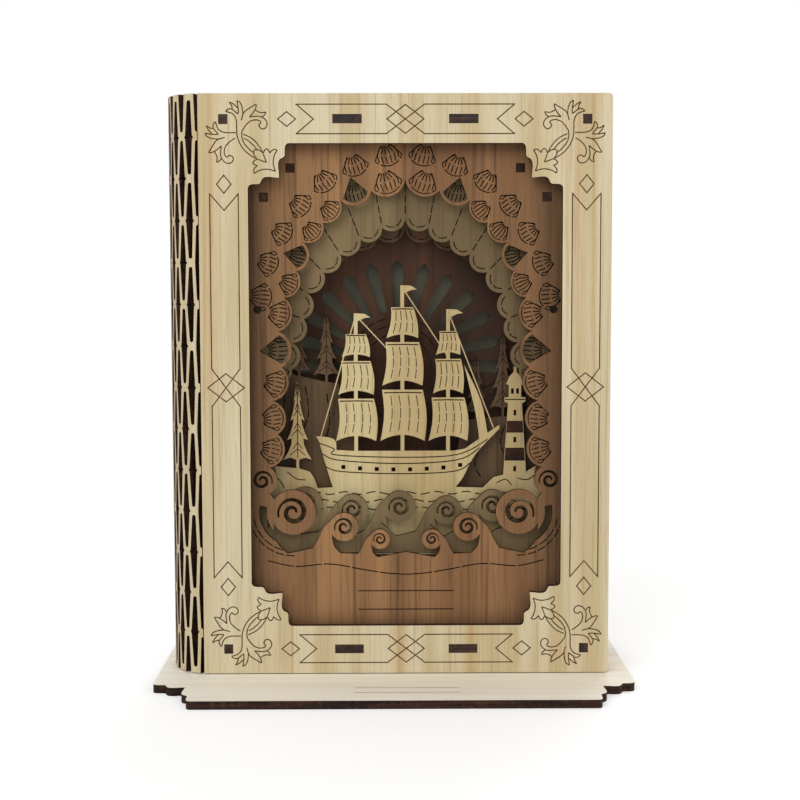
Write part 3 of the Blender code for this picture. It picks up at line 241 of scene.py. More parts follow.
def anticlockwise(outline):
    area = sum(a[0] * b[1] - b[0] * a[1] for a, b in zip(outline, [*outline[1:], outline[0]]))
    return outline if area > 0 else outline[::-1]


def laser_cut(shapes, thickness):
    """A flat sheet from its front at height 0 to its back at -thickness. Each shape paints over
    the ones before it: board stays, a gap is cut through and a groove is engraved. Its faces,
    cut edges and engraved lines take the first, second and third finish."""
    points = []
    loops = []
    for _, outline in shapes:
        loops.append(list(range(len(points), len(points) + len(outline))))
        points += [Vector(point) for point in anticlockwise(outline)]
    spots, _, triangles, _, _, owners = geometry.delaunay_2d_cdt(points, [], loops, 1, WELD)
    form = bmesh.new()
    corners = [form.verts.new((spot.x, spot.y, 0.0)) for spot in spots]
    sunk = []
    for triangle, owner in zip(triangles, owners):
        kind = shapes[max(owner)][0]
        if kind == GAP:
            continue
        face = form.faces.new([corners[index] for index in triangle])
        if kind == GROOVE:
            sunk.append(face)
    loose = [vert for vert in form.verts if not vert.link_faces]
    bmesh.ops.delete(form, geom=loose, context="VERTS")
    front = list(form.faces)
    back = bmesh.ops.extrude_face_region(form, geom=front)
    moved = [part for part in back["geom"] if isinstance(part, bmesh.types.BMVert)]
    bmesh.ops.translate(form, vec=(0, 0, -thickness), verts=moved)
    if sunk:
        floor_faces = bmesh.ops.extrude_face_region(form, geom=sunk)["geom"]
        moved = [part for part in floor_faces if isinstance(part, bmesh.types.BMVert)]
        bmesh.ops.translate(form, vec=(0, 0, -ENGRAVED_DEPTH), verts=moved)
        bmesh.ops.delete(form, geom=sunk, context="FACES")
    bmesh.ops.recalc_face_normals(form, faces=form.faces)
    for face in form.faces:
        height = max(abs(vert.co.z) for vert in face.verts)
        level = min(abs(vert.co.z) for vert in face.verts)
        flat = height - level < WELD
        outer = flat and (height < WELD or height > thickness - WELD)
        cut_short = WELD < height < ENGRAVED_DEPTH + WELD
        face.material_index = FACE if outer else LINE if cut_short else EDGE
    return form


SHARP = math.radians(35)


def finished(form, name, turn, finishes):
    """Puts a bmesh into the scene as a smooth-edged object and gives it its finishes."""
    bmesh.ops.transform(form, matrix=turn, verts=form.verts)
    bmesh.ops.recalc_face_normals(form, faces=form.faces)
    mesh = bpy.data.meshes.new(name)
    form.to_mesh(mesh)
    form.free()
    mesh.shade_smooth()
    mesh.set_sharp_from_angle(angle=SHARP)
    for finish in finishes:
        mesh.materials.append(finish)
    piece = bpy.data.objects.new(name, mesh)
    bpy.context.scene.collection.objects.link(piece)
    return piece


def facing(across, front, up):
    """Stands a sheet up with its front towards -Y. Across and up are its own middle's place."""
    return Matrix(((1, 0, 0, across), (0, 0, -1, front), (0, 1, 0, up), (0, 0, 0, 1)))


def in_place_of(piece, part, body="root"):
    """The piece stands for a CAD node and moves with its body."""
    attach(piece, body)
    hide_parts(part)
    return piece


BURNT = linear(56, 34, 24)
BURNT_PALE = linear(98, 64, 44)
BURNT_BLACK = linear(25, 16, 12)
SINGED = linear(112, 80, 44)
SINGED_DARK = linear(82, 56, 30)
CHARRED_ROUGHNESS = 0.8
CHARRED_SHINE = 0.2
WOOD_SHINE = 0.3
WOOD_ROUGHNESS = 0.52
GRAIN_RELIEF = 0.25
RELIEF_DEPTH = 0.05 * MM
CUT_FACING = 0.7

# The layers of a veneer's grain: how far each is drawn out, its detail, and the span of its
# noise over which it comes to show
BAND_GRAIN, BAND_SPAN = (0.05, 2.0), (0.36, 0.66)
STREAK_GRAIN, STREAK_SPAN = (0.012, 2.0), (0.58, 0.74)
FIBRE_GRAIN, FIBRE_SPAN = (0.018, 5.0), (0.50, 0.72)
FINE_GRAIN, FINE_SPAN = (0.03, 2.0), (0.56, 0.72)
FINE_SCALE = 2.7
FINE_SHARE = 0.6
PLY_SCALE, PLY_STRETCH, PLY_SPAN = 40.0, 25.0, (0.38, 0.62)
SOOT_SCALE, SOOT_SPAN, SOOT_SHARE = 500.0, (0.45, 0.75), 0.45
SINGED_SCALE, SINGED_SPAN = 300.0, (0.4, 0.65)


def mixed(tree, share, first, second):
    return node(tree, "ShaderNodeMix", {0: share, 6: first, 7: second}, data_type="RGBA")[2]


def stretched_noise(tree, scale, grain, stretch=1.0, detail=3.0):
    """Noise drawn out along the grain."""
    place = node(tree, "ShaderNodeTexCoord")["Object"]
    stretches = [1.0, 1.0, 1.0]
    stretches[grain] = stretch
    run = node(tree, "ShaderNodeMapping", {"Vector": place, "Scale": stretches})["Vector"]
    return node(tree, "ShaderNodeTexNoise", {"Vector": run, "Scale": scale, "Detail": detail})[0]


def scaled(tree, value, factor):
    return node(tree, "ShaderNodeMath", {0: value, 1: factor}, operation="MULTIPLY")[0]


def burnt_colour(tree, side):
    """The laser's brown on a cut edge: charred glue lines between plies about 1 mm thick."""
    plies = stretched_noise(tree, PLY_SCALE, side, PLY_STRETCH, 2.0)
    soot = stretched_noise(tree, SOOT_SCALE, side)
    colour = mixed(tree, graded(tree, plies, *PLY_SPAN), BURNT_BLACK, BURNT)
    share = scaled(tree, graded(tree, soot, *SOOT_SPAN), SOOT_SHARE)
    return mixed(tree, share, colour, BURNT_PALE)


def wood(name, tones, grain, side=None, roughness=WOOD_ROUGHNESS):
    """Veneer with its grain along one axis. Where side is given, the board's edges are burnt:
    they are the faces that don't look along that axis."""
    light, dark, streak, pore = (linear(*tone) for tone in tones["colours"])
    made, tree, shader = new_material(name)
    bands = stretched_noise(tree, tones["band"], grain, *BAND_GRAIN)
    fibres = stretched_noise(tree, tones["fibre"], grain, *FIBRE_GRAIN)
    fine = stretched_noise(tree, tones["fibre"] * FINE_SCALE, grain, *FINE_GRAIN)
    streaks = stretched_noise(tree, tones["streak"], grain, *STREAK_GRAIN)
    colour = mixed(tree, graded(tree, bands, *BAND_SPAN), light, dark)
    for layer, span, most, tone in (
            (streaks, STREAK_SPAN, tones["streak_share"], streak),
            (fibres, FIBRE_SPAN, tones["fibre_share"], pore),
            (fine, FINE_SPAN, tones["fibre_share"] * FINE_SHARE, pore)):
        colour = mixed(tree, scaled(tree, graded(tree, layer, *span), most), colour, tone)
    if side is not None:
        normal = node(tree, "ShaderNodeTexCoord")["Normal"]
        along = node(tree, "ShaderNodeSeparateXYZ", {0: normal})[side]
        turned = node(tree, "ShaderNodeMath", {0: along}, operation="ABSOLUTE")[0]
        edge = node(tree, "ShaderNodeMath", {0: turned, 1: CUT_FACING},
                    operation="LESS_THAN")[0]
        colour = mixed(tree, edge, colour, burnt_colour(tree, side))
    tree.links.new(colour, shader.inputs["Base Color"])
    shader.inputs["Roughness"].default_value = roughness
    shader.inputs["Specular IOR Level"].default_value = WOOD_SHINE
    relief = node(tree, "ShaderNodeBump", {"Height": fibres, "Strength": GRAIN_RELIEF,
                                           "Distance": RELIEF_DEPTH})[0]
    tree.links.new(relief, shader.inputs["Normal"])
    return made


def toned(made, share, tone):
    """Mixes a finish's colour towards another tone."""
    tree = made.node_tree
    colour = tree.nodes["Principled BSDF"].inputs["Base Color"]
    tree.links.new(mixed(tree, share, colour.links[0].from_socket, linear(*tone)), colour)
    return made


def charred(name, side):
    """The floor and walls of a cut: matt and dark brown."""
    made, tree, shader = new_material(name)
    tree.links.new(burnt_colour(tree, side), shader.inputs["Base Color"])
    shader.inputs["Roughness"].default_value = CHARRED_ROUGHNESS
    shader.inputs["Specular IOR Level"].default_value = CHARRED_SHINE
    return made


BASSWOOD = {
    "colours": ((214, 201, 168), (196, 176, 134), (188, 144, 92), (166, 136, 92)),
    "band": 95.0, "fibre": 900.0, "streak": 200.0, "streak_share": 0.72, "fibre_share": 0.45,
}
# The base plate's basswood: a paler sheet, and paler still as painted light on its top, which
# faces the light from above
PALE_AND_TOP_LIT_BASSWOOD = BASSWOOD | {
    "colours": ((252, 247, 234), (246, 238, 220), (238, 218, 186), (222, 209, 180)),
}
CHARRED = {axis: charred(f"charred_{name}", axis) for axis, name in enumerate("xyz")}


def singed_finish():
    """The engraver's line: browned wood, not burnt through."""
    made, tree, shader = new_material("singed_line")
    soot = stretched_noise(tree, SINGED_SCALE, X)
    colour = mixed(tree, graded(tree, soot, *SINGED_SPAN), SINGED, SINGED_DARK)
    tree.links.new(colour, shader.inputs["Base Color"])
    shader.inputs["Roughness"].default_value = CHARRED_ROUGHNESS
    shader.inputs["Specular IOR Level"].default_value = CHARRED_SHINE
    return made


SINGED_LINE = singed_finish()

base_low, base_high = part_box("base_plate")
PLY = base_high.z - base_low.z
wall_low, wall_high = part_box("hinge_side_wall")
far_wall_low, far_wall_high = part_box("fore_edge_wall")
WALL_MIDDLE_Y = (wall_low.y + wall_high.y) / 2

base_shapes = [(BOARD, stepped_rectangle(base_high.x, base_high.y, *BASE_CORNER))]
for wall_x in ((wall_low.x + wall_high.x) / 2, (far_wall_low.x + far_wall_high.x) / 2):
    for end in (-1, 1):
        middle = (wall_x, WALL_MIDDLE_Y + end * FOOT_SPREAD)
        base_shapes.append(
            (GAP, rectangle(middle, PLY + 2 * SAW_ROOM, FOOT_WIDTH + 2 * SAW_ROOM)))
cover_low, cover_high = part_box("front_cover")
BOOK_SHIFT = (cover_low.x + cover_high.x) / 2
for setback in BASE_RULE_SETBACKS:
    level = base_low.y + setback
    base_shapes += engraved(line([(BOOK_SHIFT - BASE_RULE_HALF, level),
                                  (BOOK_SHIFT + BASE_RULE_HALF, level)]))
base = finished(
    laser_cut(base_shapes, PLY), "base_plate_board", Matrix.Translation((0, 0, base_high.z)),
    [wood("basswood_along_x", PALE_AND_TOP_LIT_BASSWOOD, X, Z), CHARRED[Z], SINGED_LINE],
)
in_place_of(base, "base_plate")


# Front cover: 3 mm basswood plywood with upright grain, cut with a stepped window and holes for
# the box's tenons, and engraved with frame lines, diamonds and a leaf spray in each corner.
COVER_HALF_WIDTH = (cover_high.x - cover_low.x) / 2
COVER_HALF_HEIGHT = (cover_high.z - cover_low.z) / 2
PICTURE_Z = (cover_low.z + cover_high.z) / 2
WINDOW_BORDER = 17.6 * MM
WINDOW_CORNER = (14.6 * MM, 15.9 * MM)
WINDOW_HALF_WIDTH = COVER_HALF_WIDTH - WINDOW_BORDER
WINDOW_HALF_HEIGHT = COVER_HALF_HEIGHT - WINDOW_BORDER
FORE_EDGE_RADIUS = 1.5 * MM
CORNER_STEPS = 6
WALL_INSET = 9.0 * MM
TENON_SPREAD = 20.8 * MM
TENON_WIDTH = 10.2 * MM
END_TENON = 3.2 * MM
BAND_MIDDLE = 9.1 * MM
CURVE_STEPS = 6
COARSE_STEPS = 4
SAIL_STEPS = 3

# The frame lines along a level border and an upright one: how far they stand from the band's
# middle, where their crossing starts, where they end, and the notch of their swallow tails
LEVEL_BAND = {"off": 5.2 * MM, "cross": 6.8 * MM, "end": 38.9 * MM, "notch": 32.8 * MM}
UPRIGHT_BAND = {"off": 5.1 * MM, "cross": 6.8 * MM, "end": 69.5 * MM, "notch": 63.6 * MM}
MIDDLE_DIAMOND = (6.6 * MM, 5.1 * MM)
END_DIAMOND = (3.2 * MM, 2.6 * MM)
END_DIAMOND_GAP = 3.4 * MM

# Half of the corner spray, in millimetres in from both edges of the cover. The other half is its
# mirror image in the corner's diagonal. One stem passes in front of the other.
SPRAY_LINES = (
    ((10.0, 6.4), (10.8, 5.7), (11.8, 5.5), (12.5, 5.7)),
    ((14.4, 7.3), (13.2, 6.3), (12.5, 5.7), (12.2, 4.4), (11.4, 3.1)),
    ((11.4, 3.1), (12.8, 3.8), (14.4, 5.2)),
    ((14.5, 7.3), (14.5, 5.4), (14.3, 3.9), (14.1, 2.6)),
    ((14.1, 2.6), (15.2, 3.3), (15.8, 4.6), (16.1, 6.2), (16.1, 7.6), (15.6, 9.6)),
    ((16.2, 7.4), (16.9, 6.4), (18.3, 5.4), (19.8, 4.5), (20.9, 3.8)),
    ((20.9, 3.8), (20.9, 4.8), (20.5, 5.8)),
    ((20.5, 5.8), (21.2, 6.3), (22.4, 6.8), (23.4, 6.8), (24.3, 6.6)),
    ((24.3, 6.6), (24.0, 7.5), (22.9, 8.4)),
    ((20.5, 5.9), (19.6, 7.2), (18.5, 8.4)),
    ((18.5, 8.4), (20.0, 8.2), (21.6, 8.1), (22.9, 8.4), (24.1, 9.3), (24.7, 10.4), (24.6, 11.6),
     (23.9, 12.4), (23.0, 12.6), (22.2, 12.1), (21.9, 11.2), (22.6, 10.3)),
    ((22.6, 10.3), (22.0, 9.7), (20.6, 9.4), (18.9, 9.8), (17.7, 10.7), (16.7, 11.9),
     (15.8, 13.3)),
    ((20.1, 20.1), (20.6, 19.9), (21.6, 20.0), (22.5, 20.5), (23.3, 21.2)),
    ((23.3, 21.2), (23.7, 20.2), (24.5, 19.6), (25.1, 20.1), (25.6, 21.1)),
    ((25.6, 21.1), (26.4, 20.2), (27.4, 19.8), (28.3, 20.1)),
    ((28.3, 20.1), (27.5, 21.3), (27.0, 22.7), (26.8, 24.3), (27.0, 25.9), (27.6, 27.6)),
    ((23.3, 21.4), (23.9, 23.0), (24.4, 24.4)),
)
SPRAY_FRONT_STEM = (
    ((20.6, 23.0), (18.9, 22.0), (16.9, 20.4), (15.5, 18.6), (14.5, 16.6), (14.0, 14.7),
     (13.9, 12.3), (13.9, 10.3), (13.6, 8.8), (12.9, 7.6), (11.8, 6.9), (10.0, 6.4)),
    ((15.8, 13.3), (15.7, 14.7), (15.9, 16.2), (16.5, 17.6), (17.6, 19.0), (18.9, 20.3),
     (20.2, 21.2)),
)
SPRAY_REAR_STEM = (
    ((23.0, 20.6), (22.0, 18.9), (20.4, 16.9), (18.6, 15.5), (16.2, 14.4)),
    ((13.5, 13.9), (12.3, 13.9), (10.3, 13.9), (8.8, 13.6), (7.6, 12.9), (6.9, 11.8), (6.4, 10.0)),
    ((21.2, 20.2), (20.3, 18.9), (19.0, 17.6), (17.6, 16.5), (16.4, 15.9)),
)


def smooth(points, steps=CURVE_STEPS):
    """A Catmull-Rom curve through an open run of points."""
    ends = [points[0], *points, points[-1]]
    curve = []
    for index in range(len(points) - 1):
        a, b, c, d = (Vector(ends[index + k]) for k in range(4))
        for step in range(steps):
            t = step / steps
            spot = 2 * b + (c - a) * t + (2 * a - 5 * b + 4 * c - d) * t**2
            curve.append(tuple((spot + (3 * b - a - 3 * c + d) * t**3) / 2))
    return [*curve, tuple(points[-1])]


def ribbon(curve, widths):
    """A strip along a curve. Its width runs through the widths given, from start to end."""
    run = [Vector(point) for point in curve]
    left = []
    right = []
    for index, spot in enumerate(run):
        before = run[max(index - 1, 0)]
        after = run[min(index + 1, len(run) - 1)]
        along = (after - before).normalized()
        share = index / (len(run) - 1) * (len(widths) - 1)
        low = min(int(share), len(widths) - 2)
        width = widths[low] + (widths[low + 1] - widths[low]) * (share - low)
        beside = Vector((-along.y, along.x)) * width / 2
        left.append(tuple(spot + beside))
        right.append(tuple(spot - beside))
    return right + left[::-1]


def even(width):
    return (width, width)


def corner_spray():
    """The engraved strips of one corner's spray, in and down from the cover's corner."""
    strips = []
    for run in (*SPRAY_LINES, *SPRAY_FRONT_STEM):
        strips.append(ribbon(smooth(run), even(ENGRAVED_WIDTH / MM)))
    for run in (*((tuple(point[::-1]) for point in run) for run in SPRAY_LINES),
                *SPRAY_REAR_STEM):
        strips.append(ribbon(smooth(list(run)), even(ENGRAVED_WIDTH / MM)))
    return strips


def border_band(band, diamond, turned):
    """Frame lines that cross at a diamond, with swallow tails and a small diamond past each."""
    off, cross, end, notch = band["off"], band["cross"], band["end"], band["notch"]
    tip = end + END_DIAMOND_GAP
    runs = []
    for side in (-1, 1):
        runs.append([(-end, side * off), (-cross, side * off), (cross, -side * off),
                     (end, -side * off)])
        runs.append([(side * end, off), (side * notch, 0.0), (side * end, -off)])
        middle = (side * tip, 0.0)
        runs.append([(middle[0] + x, y) for x, y in diamond_loop(END_DIAMOND)])
    runs.append(diamond_loop(diamond))
    if turned:
        runs = [[(y, x) for x, y in run] for run in runs]
    return runs


def diamond_loop(half):
    across, up = half
    return [(across, 0.0), (0.0, up), (-across, 0.0), (0.0, -up), (across, 0.0)]


def cover_outline(half_width, half_height):
    """A book board with its two fore-edge corners rounded and its spine edge straight."""
    outline = [(-half_width, -half_height)]
    for end, start in ((-1, -math.pi / 2), (1, 0.0)):
        centre_x = half_width - FORE_EDGE_RADIUS
        centre_y = end * (half_height - FORE_EDGE_RADIUS)
        for step in range(CORNER_STEPS + 1):
            turn = start + math.pi / 2 * step / CORNER_STEPS
            x = centre_x + FORE_EDGE_RADIUS * math.cos(turn)
            outline.append((x, centre_y + FORE_EDGE_RADIUS * math.sin(turn)))
    return [*outline, (-half_width, half_height)]


def tenon_holes():
    level = COVER_HALF_HEIGHT - WALL_INSET
    end = level + PLY / 2 - END_TENON / 2
    holes = []
    for up in (-1, 1):
        for side in (-1, 1):
            holes.append(rectangle((side * TENON_SPREAD, up * level),
                                   TENON_WIDTH + 2 * SAW_ROOM, PLY + 2 * SAW_ROOM))
            holes.append(rectangle((side * (COVER_HALF_WIDTH - WALL_INSET), up * end),
                                   PLY + 2 * SAW_ROOM, END_TENON + 2 * SAW_ROOM))
    return holes


cover_shapes = [(BOARD, cover_outline(COVER_HALF_WIDTH, COVER_HALF_HEIGHT))]
window = stepped_rectangle(WINDOW_HALF_WIDTH, WINDOW_HALF_HEIGHT, *WINDOW_CORNER)
cover_shapes.append((GAP, window))
for end in (-1, 1):
    for run in border_band(LEVEL_BAND, MIDDLE_DIAMOND, turned=False):
        level = end * (COVER_HALF_HEIGHT - BAND_MIDDLE)
        cover_shapes += engraved(line([(x, y + level) for x, y in run]))
    for run in border_band(UPRIGHT_BAND, MIDDLE_DIAMOND[::-1], turned=True):
        across = end * (COVER_HALF_WIDTH - BAND_MIDDLE)
        cover_shapes += engraved(line([(x + across, y) for x, y in run]))
    for side in (-1, 1):
        for strip in corner_spray():
            cover_shapes += engraved([[(side * (COVER_HALF_WIDTH - x * MM),
                                        end * (COVER_HALF_HEIGHT - y * MM)) for x, y in strip]])
cover_shapes += [(GAP, hole) for hole in tenon_holes()]
front_cover = finished(
    laser_cut(cover_shapes, PLY), "front_cover_board",
    facing(BOOK_SHIFT, cover_low.y, PICTURE_Z),
    [wood("basswood_cover", BASSWOOD, Z, Y), CHARRED[Y], SINGED_LINE],
)
in_place_of(front_cover, "front_cover")


# Box: side, top and bottom walls and the shelf, 3 mm basswood plywood with brown cut edges,
# slotted into each other. They stay as the CAD model has them.
def refinish(part, finish):
    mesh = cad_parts[part].data
    mesh.materials.clear()
    mesh.materials.append(finish)


UPRIGHT_SIDE_BOARD = wood("basswood_wall", BASSWOOD, Z, X)
LEVEL_BOARD = wood("basswood_level", BASSWOOD, X, Z)
FACING_BOARD = wood("basswood_facing", BASSWOOD, Z, Y)
for part in ("hinge_side_wall", "fore_edge_wall"):
    refinish(part, UPRIGHT_SIDE_BOARD)
for part in ("top_wall", "bottom_wall", "compartment_shelf"):
    refinish(part, LEVEL_BOARD)


# Spine: one sheet of basswood plywood with rows of slots, which lets it bend round the back edge
# of the box like a book's spine. Its pale strips stand between scorched slot walls.
spine_low, spine_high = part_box("spine_hinge")
SPINE_BULGE = cover_low.x - spine_low.x
SPINE_HEIGHT = spine_high.z - spine_low.z
HALF_DEPTH = -cover_low.y
HINGE_PITCHES = 16
HINGE_PERIODS = 7
SLOT_END_HALF = 0.72 * MM
SLOT_MIDDLE_HALF = 1.12 * MM
SLOT_NOTCH = 0.45 * MM
SLOT_NOTCH_HALF = 0.7 * MM
SLOT_ROUND_STEPS = 4
SLOT_TIP_SHARE = 0.1
NECK_HALF = 1.45 * MM
END_BAND = 2.3 * MM
ARC_SAMPLES = 400
SPINE_BACK_TONE = (148, 110, 76)
SPINE_BACK_SHARE = 0.55
SPINE_BACK_FACING = (0.72, 1.0)


def spine_curve():
    """Points along the bent sheet's middle surface, and how far it is to each of them."""
    across = SPINE_BULGE - PLY / 2
    deep = HALF_DEPTH - PLY / 2
    points = []
    for step in range(ARC_SAMPLES + 1):
        turn = math.pi * step / ARC_SAMPLES
        points.append(Vector((-across * math.sin(turn), -deep * math.cos(turn))))
    lengths = [0.0]
    for first, second in zip(points, points[1:]):
        lengths.append(lengths[-1] + (second - first).length)
    return points, lengths


def on_curve(points, lengths, run):
    index = next((k for k in range(len(points) - 1) if lengths[k + 1] >= run), len(points) - 2)
    share = (run - lengths[index]) / (lengths[index + 1] - lengths[index])
    return points[index].lerp(points[index + 1], share)


def flat_facet(points, lengths, run, columns):
    """Where a spot lies, and its outward direction, if the sheet folds at some columns only."""
    pitch = lengths[-1] / HINGE_PITCHES
    stops = [column * pitch for column in columns]
    index = next((k for k in range(len(stops) - 1) if stops[k + 1] >= run), len(stops) - 2)
    near, far = (on_curve(points, lengths, stops[k]) for k in (index, index + 1))
    along = (far - near).normalized()
    share = (run - stops[index]) / (stops[index + 1] - stops[index])
    return near.lerp(far, share), Vector((-along.y, along.x))


def bend_onto_spine(form, points, lengths):
    """Strips that join lie flat with each other, and each strip twists from joint to joint."""
    period = SPINE_HEIGHT / HINGE_PERIODS
    even_columns = range(0, HINGE_PITCHES + 1, 2)
    odd_columns = (0, *range(1, HINGE_PITCHES, 2), HINGE_PITCHES)
    for vert in form.verts:
        run = min(max(vert.co.x, 0.0), lengths[-1])
        phase = vert.co.y / period % 1.0
        twist = abs(phase - 0.5) * period
        share = 1 - min(max((twist - NECK_HALF) / (period / 2 - 2 * NECK_HALF), 0.0), 1.0)
        place, outward = flat_facet(points, lengths, run, even_columns)
        other_place, other_outward = flat_facet(points, lengths, run, odd_columns)
        spot = place.lerp(other_place, share)
        spot += outward.lerp(other_outward, share).normalized() * (vert.co.z + PLY / 2)
        vert.co = (spot.x, spot.y, vert.co.y)


def half_round(level, end):
    """A quarter circle from the slot's tip to its side, or the other way at its upper end."""
    bend = []
    for step in range(SLOT_ROUND_STEPS + 1):
        share = SLOT_TIP_SHARE + (1 - SLOT_TIP_SHARE) * step / SLOT_ROUND_STEPS
        turn = math.pi / 2 * share
        bend.append((SLOT_END_HALF * math.sin(turn), level + end * SLOT_END_HALF * math.cos(turn)))
    return bend[::-end]


def slot_outline(middle, low, high, low_open, high_open, notch_depth):
    """A slot with round ends that widens to a notch half way up, or runs out of the sheet."""
    right = []
    if low_open:
        right.append((SLOT_MIDDLE_HALF, low - END_BAND))
    else:
        right += half_round(low + SLOT_END_HALF, -1)
    if not (low_open or high_open):
        level = (low + high) / 2
        right += [(SLOT_MIDDLE_HALF, level - SLOT_NOTCH_HALF),
                  (SLOT_MIDDLE_HALF + notch_depth, level),
                  (SLOT_MIDDLE_HALF, level + SLOT_NOTCH_HALF)]
    if high_open:
        right.append((SLOT_MIDDLE_HALF, high + END_BAND))
    else:
        right += half_round(high - SLOT_END_HALF, 1)
    left = [(-half, level) for half, level in reversed(right)]
    return [(middle + half, level) for half, level in right + left]


def hinge_slots(length):
    pitch = length / HINGE_PITCHES
    period = SPINE_HEIGHT / HINGE_PERIODS
    slots = []
    for column in range(HINGE_PITCHES + 1):
        if column % 2:
            stops = [row * period for row in range(HINGE_PERIODS + 1)]
        else:
            stops = [0.0, *((row + 0.5) * period for row in range(HINGE_PERIODS)), SPINE_HEIGHT]
        for low, high in zip(stops, stops[1:]):
            low_open = column % 2 == 0 and low == 0.0
            high_open = column % 2 == 0 and high == SPINE_HEIGHT
            if not low_open:
                low += NECK_HALF if low > 0 else END_BAND
            if not high_open:
                high -= NECK_HALF if high < SPINE_HEIGHT else END_BAND
            notch = SLOT_NOTCH if 0 < column < HINGE_PITCHES else 0.0
            slots.append(slot_outline(column * pitch, low, high, low_open, high_open, notch))
    return slots


def spine_wood():
    """Basswood, browner on the faces that look out along -X, where the spine is roundest."""
    made = wood("basswood_spine", BASSWOOD, Z)
    tree = made.node_tree
    normal = node(tree, "ShaderNodeTexCoord")["Normal"]
    outward = node(tree, "ShaderNodeSeparateXYZ", {0: normal})[X]
    share = graded(tree, scaled(tree, outward, -1.0), *SPINE_BACK_FACING)
    return toned(made, scaled(tree, share, SPINE_BACK_SHARE), SPINE_BACK_TONE)


curve_points, curve_lengths = spine_curve()
sheet_length = curve_lengths[-1]
spine_sheet = rectangle((sheet_length / 2, SPINE_HEIGHT / 2), sheet_length, SPINE_HEIGHT)
spine_form = laser_cut(
    [(BOARD, spine_sheet), *((GAP, slot) for slot in hinge_slots(sheet_length))], PLY)
bend_onto_spine(spine_form, curve_points, curve_lengths)
spine = finished(
    spine_form, "spine_sheet", Matrix.Translation((cover_low.x, 0, spine_low.z)),
    [spine_wood(), CHARRED[X]],
)
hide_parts("spine_hinge")
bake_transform(spine)


# Picture sheets: five 2 mm plywood sheets, stained differently and pierced by laser, which stand
# one behind the other in slots of the side walls. The first is walnut: a rim of scallop shells,
# breakers that roll inwards, and the bare title panel with its two rules.
PUFF_STEPS = 14
CLOUD_BULGE_SHARE = 0.32
DASH_WIDTH = 0.42 * MM
DASH, DASH_SPACE = 3.6 * MM, 0.7 * MM
SHELL_DASH = 7.0 * MM
SWAG_DASH = 9.0 * MM
DASH_STEP = 0.8 * MM
SHEET_TAB = 12.0 * MM
TAB_HEIGHT_SHARES = (0.36, 0.80)
INNER_HALF = (far_wall_low.x - wall_high.x) / 2
PEG = 3.0 * MM
PEG_NAMES = ("peg_upper_left_outer", "peg_upper_left_inner", "peg_upper_right_inner",
             "peg_upper_right_outer", "peg_lower_left", "peg_lower_right")
SHELL_RIM_SHARE = 0.84
SHELL_ROOT_SHARE = 0.62
SHELL_TRIM = 0.10
SHELL_RIBS = 6
SHELL_HORN_SHARE = 0.35
RIB_SHARES = (0.30, 0.62, 0.93)
RIB_FLARE = 0.35
HEAD_STEPS = 30
HEAD_BEGIN = math.radians(145)
HEAD_TURN = math.radians(295)
BREAKER_BACK_SHARES = ((-2.2, -1.5), (-1.8, -0.85), (-1.42, -0.05))
BREAKER_FACE_SHARES = ((-0.80, -1.0), (-0.66, -1.45), (-0.25, -1.85))
CURL_STEPS = 34
CURL_BEGIN = math.radians(200)
CURL_TURN = math.radians(560)
CURL_RIM_SHARE = 0.68
CURL_CORE_SHARE = 0.13
CURL_WIDTH_SHARES = (0.08, 0.22, 0.20, 0.11)
# Painted shade towards the window's edges: where it starts and where it is full, across and up
EDGE_SHADE_ACROSS = (38.0 * MM, 58.0 * MM)
EDGE_SHADE_UP = (80.0 * MM, 96.0 * MM)
SHEET_ROUGHNESS = 0.7
WALNUT = {
    # Painted shade towards the window's edges: how much, and its dark tone
    "painted_edge_shade": (0.66, (48, 30, 17)),
    "colours": ((157, 116, 76), (126, 90, 58), (172, 114, 66), (68, 46, 28)),
    "band": 60.0, "fibre": 700.0, "streak": 120.0, "streak_share": 0.7, "fibre_share": 0.6,
}


def placed(shares):
    return [(x * WINDOW_HALF_WIDTH, y * WINDOW_HALF_HEIGHT) for x, y in shares]


def mirrored(shares):
    """A run of shares up the right side, then down the left one, past a shared top."""
    return [*shares, *((-x, y) for x, y in reversed(shares[:-1]))]


def flipped(points):
    return [(-x, y) for x, y in points]


def both_sides(cuts):
    return [*cuts, *((kind, flipped(outline)) for kind, outline in cuts)]


def puff(start, stop):
    """The circle of the arc that swells to the left of the way from start to stop."""
    a, b = Vector(start), Vector(stop)
    chord = b - a
    swell = Vector((-chord.y, chord.x)) * CLOUD_BULGE_SHARE
    sagitta = swell.length
    radius = (chord.length**2 / 4 + sagitta**2) / (2 * sagitta)
    centre = (a + b) / 2 + swell.normalized() * (sagitta - radius)
    begin = math.atan2(a.y - centre.y, a.x - centre.x)
    turn = 2 * math.asin(min(1.0, chord.length / 2 / radius))
    return centre, radius, begin, turn


def arc(centre, radius, begin, turn, steps=PUFF_STEPS):
    """Points clockwise round a centre."""
    angles = [begin - turn * step / steps for step in range(steps + 1)]
    return [tuple(Vector(centre) + radius * Vector((math.cos(a), math.sin(a)))) for a in angles]


def clouds(knots):
    edge = [knots[0]]
    for start, stop in zip(knots, knots[1:]):
        edge += arc(*puff(start, stop))[1:]
    return edge


